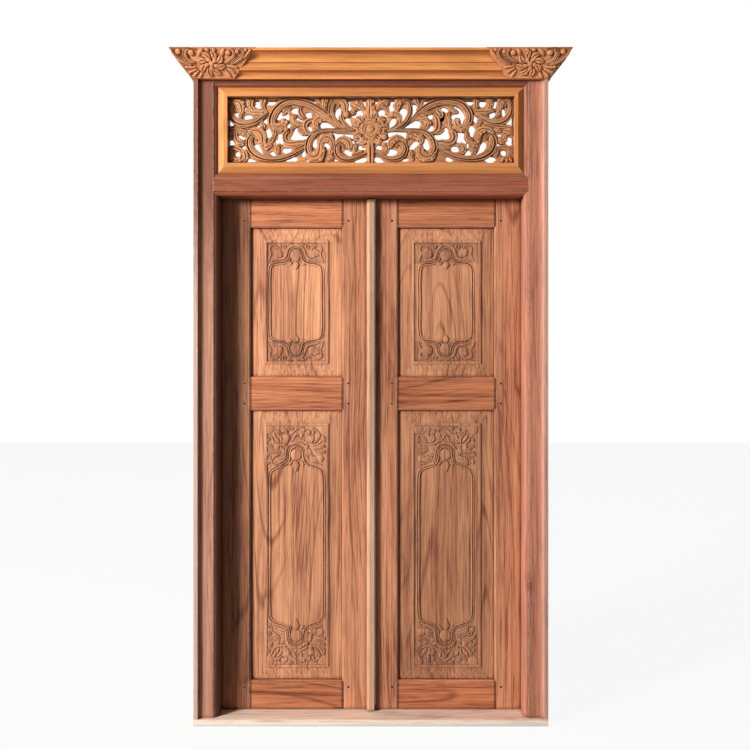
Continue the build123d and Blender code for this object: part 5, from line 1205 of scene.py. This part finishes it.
class DoorFinishes(bpy.types.PropertyGroup):
    """Colours and carving sizes that a user would change."""

    crown_color: bpy.props.FloatVectorProperty(
        name="Crown colour", description="Bright orange wood of the crown and transom frame",
        subtype="COLOR", size=3, min=0, max=1, default=(0.76, 0.285, 0.092))
    rail_color: bpy.props.FloatVectorProperty(
        name="Rail colour", description="Reddish wood of the head and the transom rail",
        subtype="COLOR", size=3, min=0, max=1, default=(0.33, 0.098, 0.054))
    jamb_color: bpy.props.FloatVectorProperty(
        name="Jamb colour", description="Pinkish brown wood of the posts",
        subtype="COLOR", size=3, min=0, max=1, default=(0.54, 0.25, 0.17))
    leaf_color: bpy.props.FloatVectorProperty(
        name="Leaf colour", description="Wood of the leaves' stiles and rails",
        subtype="COLOR", size=3, min=0, max=1, default=(0.58, 0.235, 0.13))
    panel_color: bpy.props.FloatVectorProperty(
        name="Panel colour", description="Wood of the raised panels",
        subtype="COLOR", size=3, min=0, max=1, default=(0.66, 0.285, 0.155))
    carving_color: bpy.props.FloatVectorProperty(
        name="Carving colour", description="Tan wood of the pierced transom",
        subtype="COLOR", size=3, min=0, max=1, default=(0.58, 0.245, 0.11))
    block_color: bpy.props.FloatVectorProperty(
        name="Block colour", description="Brown wood of the crown's corner blocks",
        subtype="COLOR", size=3, min=0, max=1, default=(0.74, 0.295, 0.135))
    strip_color: bpy.props.FloatVectorProperty(
        name="Strip colour", description="Pale wood of the cover strip",
        subtype="COLOR", size=3, min=0, max=1, default=(0.55, 0.30, 0.19))
    # The sill's pale colour is weathered wood and painted light on its top, which the low key
    # barely reaches.
    sill_color: bpy.props.FloatVectorProperty(
        name="Sill colour", description="Pale weathered wood of the sill",
        subtype="COLOR", size=3, min=0, max=1, default=(0.93, 0.69, 0.57))
    # The edge colour is rubbed bare wood and a painted highlight on edges and crests.
    worn_and_sheen_color: bpy.props.FloatVectorProperty(
        name="Worn edge colour", description="Bare pale wood where edges are rubbed",
        subtype="COLOR", size=3, min=0, max=1, default=(0.86, 0.62, 0.48))
    transom_relief: bpy.props.FloatProperty(
        name="Transom relief", description="Height of the transom's carving above its ground",
        subtype="DISTANCE", unit="LENGTH", default=0.010, min=0.004, max=0.010)
    panel_relief: bpy.props.FloatProperty(
        name="Panel relief", description="Height of the leaf panels' carving",
        subtype="DISTANCE", unit="LENGTH", default=0.0044, min=0.001, max=0.0045)
    block_relief: bpy.props.FloatProperty(
        name="Block relief", description="Height of the corner blocks' carving",
        subtype="DISTANCE", unit="LENGTH", default=0.0065, min=0.002, max=0.007)


class DOOR_OT_stage(bpy.types.Operator):
    """Set the camera, the soft lights and the pale floor"""

    bl_idname = "door.stage"
    bl_label = "Studio and camera"

    def execute(self, context):
        scene = context.scene
        scene.view_settings.view_transform = "Standard"
        camera_data = bpy.data.cameras.new("camera")
        camera_data.sensor_width = SENSOR
        camera_data.lens = SENSOR * CAMERA_REACH
        camera = bpy.data.objects.new("camera", camera_data)
        camera.location = CAMERA_PLACE
        camera.rotation_euler = (math.radians(90), 0, 0)
        scene.collection.objects.link(camera)
        scene.camera = camera

        lamp_data = bpy.data.lights.new("key", "AREA")
        lamp_data.shape = "DISK"
        lamp_data.size = KEY_SIZE
        lamp_data.energy = KEY_POWER
        key = bpy.data.objects.new("key", lamp_data)
        aim = Vector(KEY_AIM)
        key.location = aim + KEY_AWAY * Vector((
            -math.sin(KEY_TURN) * math.cos(KEY_RISE), -math.cos(KEY_TURN) * math.cos(KEY_RISE),
            math.sin(KEY_RISE)))
        key.rotation_euler = (aim - key.location).to_track_quat("-Z", "Y").to_euler()
        scene.collection.objects.link(key)

        world = bpy.data.worlds.new("studio")
        world.use_nodes = True
        tree = world.node_tree
        tree.nodes.clear()
        strength = maths(tree, "MULTIPLY_ADD", seen_white(tree), 1.0 - FILL, FILL)
        sky = add(tree, "ShaderNodeBackground", {"Color": (1, 1, 1, 1), "Strength": strength})
        out = add(tree, "ShaderNodeOutputWorld")
        tree.links.new(sky.outputs[0], out.inputs[0])
        scene.world = world

        ground = bmesh.new()
        bmesh.ops.create_grid(ground, x_segments=2, y_segments=2, size=12.0)
        mesh = bpy.data.meshes.new("floor")
        ground.to_mesh(mesh)
        ground.free()
        floor = bpy.data.objects.new("floor", mesh)
        scene.collection.objects.link(floor)
        pale, tree = empty_material("pale floor")
        matt = add(tree, "ShaderNodeBsdfDiffuse", {"Color": (0.42, 0.42, 0.42, 1)})
        bright = add(tree, "ShaderNodeEmission", {"Color": (1, 1, 1, 1), "Strength": 1.06})
        share = maths(tree, "MULTIPLY", seen_white(tree), 0.88)
        sockets = {0: share, 1: matt.outputs[0], 2: bright.outputs[0]}
        mixed = add(tree, "ShaderNodeMixShader", sockets)
        out = add(tree, "ShaderNodeOutputMaterial")
        tree.links.new(mixed.outputs[0], out.inputs["Surface"])
        mesh.materials.append(pale)
        return {"FINISHED"}


class DOOR_OT_finishes(bpy.types.Operator):
    """Give every joinery piece its teak finish"""

    bl_idname = "door.finishes"
    bl_label = "Teak finishes"

    def execute(self, context):
        colors = group_of(context)
        worn_and_sheen = tuple(colors.worn_and_sheen_color)
        plans = {}

        def plan(nodes, color, shade=1.0, **settings):
            for node in nodes:
                tint = tinted(color, (shade,) * 3)
                plans[node] = (tint, {"shift": len(plans) * 1.37, "worn_and_sheen": worn_and_sheen, **settings})

        crown = {"figure": 0.5, "streaks": 0.5, "patches": 0.4, "wear": 0.35}
        plan(["crown_front"], colors.crown_color, along="X", **crown)
        plan(["transom_top_moulding", "transom_bottom_moulding"], colors.crown_color, 0.86,
             along="X", **crown)
        plan(["left_crown_return", "right_crown_return"], colors.crown_color, along="Y", **crown)
        plan(["transom_left_moulding", "transom_right_moulding"], colors.crown_color, 0.86, **crown)
        # The head's wood is darkened to 0.72: painted shadow of the crown above it.
        plan(["head"], colors.rail_color, 0.72, along="X", wear=0.3, figure=0.4)
        plan(["transom_rail"], colors.rail_color, along="X", wear=0.4, figure=0.4)
        plan(["left_jamb"], colors.jamb_color, 0.9, wear=0.8, wear_width=0.005, streaks=0.8,
             stains=(graded_tint("X", -0.630, -0.640, 0.5, PALE_WOOD),
                     # Painted shade: the left jamb's inner face, turned away from the key, is
                     # darkened.
                     graded_tint("X", -0.582, -0.572, 0.8, JAMB_PAINTED_SHADE),
                     graded_tint("Z", 1.40, 2.05, 0.9, DARK_JAMB)))
        # The right jamb's pale band is rubbed wood on the fillet and painted light on the cove that
        # turns to the key.
        plan(["right_jamb"], tinted(colors.jamb_color, WARM_JAMB), wear=0.8, wear_width=0.006,
             streaks=0.8, stains=(graded_tint("X", 0.622, 0.632, 0.25, PALE_WOOD),))
        plan(["sill"], colors.sill_color, along="X", wear=0.4, figure=0.3, dirt=0.4,
             stains=(graded_tint("Z", 0.016, 0.006, 0.9, BARE_WOOD),))
        leaf = {"figure": 0.8, "streaks": 0.95, "patches": 0.7, "wear": 0.5, "rings": 15.0}
        rail_wood = tinted(colors.leaf_color, WARM_RAIL)
        # The left hanging stile is darkened to 0.62: painted shade of the jamb's shadow in the
        # recess.
        plan(["left_hanging_stile"], colors.leaf_color, 0.62, **leaf)
        plan(["right_hanging_stile", "left_meeting_stile", "right_meeting_stile"],
             colors.leaf_color, **leaf)
        for side, shades in (("left", (1.0, 1.0, 0.86)), ("right", (0.86, 0.86, 1.0))):
            low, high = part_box(f"{side}_upper_panel")
            grip = PANEL_GRIP * MM
            ends = tuple(graded_tint("X", at + inward, at, 0.75, SHOULDER_DIRT)
                         for at, inward in ((low.x + grip, 0.005), (high.x - grip, -0.005)))
            for part, shade in zip(("top", "lock", "bottom"), shades):
                plan([f"{side}_{part}_rail"], rail_wood, shade, along="X", stains=ends, **leaf)
        plan([f"{side}_{part}_panel" for side in ("left", "right") for part in ("upper", "lower")],
             colors.panel_color, **leaf)
        plan(["left_pegs", "right_pegs"], PEG_WOOD, along="Y", wear=0.0)
        plan(["cover_strip"], colors.strip_color, figure=0.2, wear=0.5)
        plan(["left_crown_block", "right_crown_block", "transom_carving"], colors.carving_color,
             along="X", wear=0.5)
        for node, (tint, settings) in plans.items():
            wear_material(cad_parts[node], teak(node.replace("_", " "), tint, **settings))
        missing = set(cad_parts) - set(plans)
        if missing:
            raise RuntimeError(f"no finish for {sorted(missing)}")
        return {"FINISHED"}


class DOOR_OT_transom(bpy.types.Operator):
    """Carve the pierced transom"""

    bl_idname = "door.transom"
    bl_label = "Pierced transom"

    def execute(self, context):
        colors = group_of(context)
        low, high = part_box("transom_carving")
        relief = colors.transom_relief / MM
        ground = low.y / MM + relief
        thickness = high.y / MM - ground
        # The carving's pale golden crests are rubbed wood and a painted highlight.
        finish = teak("carved teak", colors.carving_color, (0.95, 0.66, 0.42), along="X", shift=3.1,
                      figure=0.2, streaks=0.5, wear=0.75, wear_width=0.003, dirt=1.0,
                      dirt_reach=0.016)
        place = front_place(ground, TRANSOM_DATUM)
        left, right = low.x / MM, high.x / MM
        foot, top = low.z / MM - TRANSOM_DATUM, high.z / MM - TRANSOM_DATUM
        board = pierced_board(TRANSOM_HOLES, (left, right, foot, top), thickness)
        for x0, x1, z0, z1 in (
                (left, left + EDGE_GRIP, foot, top), (right - EDGE_GRIP, right, foot, top),
                (left + EDGE_GRIP, right - EDGE_GRIP, foot, foot + EDGE_GRIP),
                (left + EDGE_GRIP, right - EDGE_GRIP, top - EDGE_GRIP, top)):
            bar(board, (x0, z0, -0.5), (x1, z1, relief))
        bmesh.ops.transform(board, matrix=place, verts=board.verts)
        piece = finished_piece("transom_board", board, "frame", finish, 30)
        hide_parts("transom_carving")
        for name, strokes, lobes in (
                ("transom_scrolls_left", TRANSOM_LEFT, TRANSOM_LOBES_LEFT),
                ("transom_scrolls_right", TRANSOM_RIGHT, TRANSOM_LOBES_RIGHT),
                ("transom_rosette", transom_rosette(), ROSETTE_LOBES)):
            carving = sweep_strokes(strokes)
            add_bosses(carving, scallops(strokes) + lobes)
            settle(carving, thickness, relief)
            bmesh.ops.transform(carving, matrix=place, verts=carving.verts)
            piece = finished_piece(name, carving, "frame", finish)
            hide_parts("transom_carving")
        return {"FINISHED"}


class DOOR_OT_panels(bpy.types.Operator):
    """Carve the four raised panels"""

    bl_idname = "door.panels"
    bl_label = "Leaf panels"

    def execute(self, context):
        colors = group_of(context)
        for order, ((side, level), shade) in enumerate(PANEL_SHADES.items()):
            flip, axis = PANEL_AXES[side]
            strokes, bosses, drawn_rim = ORNAMENTS[level]
            node = f"{side}_{level}_panel"
            low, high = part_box(node)
            x0, x1, z0, z1 = (at / MM for at in (low.x, high.x, low.z, high.z))
            board = panel_board(x0, x1, z0, z1)
            side_inset = PANEL_GRIP + PANEL_MARGIN + PANEL_RIM
            end_inset = PANEL_GRIP + PANEL_END_MARGIN + PANEL_RIM
            left, right = x0 + side_inset, x1 - side_inset
            foot, top = z0 + end_inset, z1 - end_inset
            for start, down in ((z1 - PANEL_DRAWN_INSET, 1), (z0 + PANEL_DRAWN_INSET, -1)):
                carving = sweep_strokes(strokes)
                add_bosses(carving, [(*boss, 0) for boss in bosses])
                place = drawn_to_panel(axis, start, drawn_rim, flip, down)
                bmesh.ops.transform(carving, matrix=place, verts=carving.verts)
                settle(carving, 3.0, colors.panel_relief / MM)
                clip(carving, left, right, foot, top)
                join(board, carving)
                carving.free()
            place = front_place(high.y / MM - PANEL_GROUND)
            bmesh.ops.transform(board, matrix=place, verts=board.verts)
            stains = [
                waxed(left * MM, right * MM, low_z * MM, high_z * MM, 0.006, 0.5, CARVING_WAX)
                for low_z, high_z in ((foot, foot + ORNAMENT_STAIN), (top - ORNAMENT_STAIN, top))]
            finish = teak(f"{side} {level} panel", tinted(colors.panel_color, (shade,) * 3),
                          colors.worn_and_sheen_color, shift=41 + order, figure=0.9, streaks=0.9,
                          patches=0.6, rings=16.0, wear_width=0.002, dirt=1.0, dirt_reach=0.015,
                          stains=stains if level == "upper" else ())
            piece = finished_piece(f"{node}_carved", board, f"{side}_leaf", finish)
            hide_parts(node)
        return {"FINISHED"}


class DOOR_OT_blocks(bpy.types.Operator):
    """Carve the crown's two corner blocks"""

    bl_idname = "door.blocks"
    bl_label = "Corner blocks"

    def execute(self, context):
        colors = group_of(context)
        # The block's pale crests are rubbed wood and a painted highlight.
        finish = teak("block teak", colors.block_color, (0.95, 0.60, 0.34), along="X", shift=5.3,
                      figure=0.2, streaks=0.5, wear_width=0.002, dirt=1.0, dirt_reach=0.016)
        for side, turn in (("left", 1), ("right", -1)):
            carving = sweep_strokes(BLOCK_STROKES + block_flower())
            add_bosses(carving, BLOCK_BOSSES)
            settle(carving, 2.0, colors.block_relief / MM)
            clip(carving, *BLOCK_TOP, 0.0, BLOCK_DRAWN_TOP)
            bmesh.ops.transform(carving, matrix=slope_place(), verts=carving.verts)
            block = block_body()
            join(block, carving)
            carving.free()
            bmesh.ops.scale(block, vec=(turn, 1, 1), verts=block.verts)
            piece = finished_piece(f"{side}_block_carved", block, "frame", finish)
            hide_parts(f"{side}_crown_block")
        return {"FINISHED"}


class DOOR_PT_panel(bpy.types.Panel):
    """Lists the steps that build the door's looks"""

    bl_idname = "DOOR_PT_panel"
    bl_label = "Carved Door"
    bl_space_type = "VIEW_3D"
    bl_region_type = "UI"
    bl_category = "Door"

    def draw(self, context):
        layout = self.layout
        for name in DoorFinishes.__annotations__:
            layout.prop(group_of(context), name)
        for step in STEPS:
            layout.operator(step.bl_idname)


STEPS = (DOOR_OT_stage, DOOR_OT_finishes, DOOR_OT_transom, DOOR_OT_panels, DOOR_OT_blocks)
CLASSES = (DoorFinishes, *STEPS, DOOR_PT_panel)


def register():
    for cls in CLASSES:
        bpy.utils.register_class(cls)
    bpy.types.Scene.door_finishes = bpy.props.PointerProperty(type=DoorFinishes)


def unregister():
    del bpy.types.Scene.door_finishes
    for cls in reversed(CLASSES):
        bpy.utils.unregister_class(cls)


def main():
    """Build every step in order."""
    register()
    bpy.ops.door.stage()
    bpy.ops.door.finishes()
    bpy.ops.door.transom()
    bpy.ops.door.panels()
    bpy.ops.door.blocks()


if __name__ == "__main__":
    main()
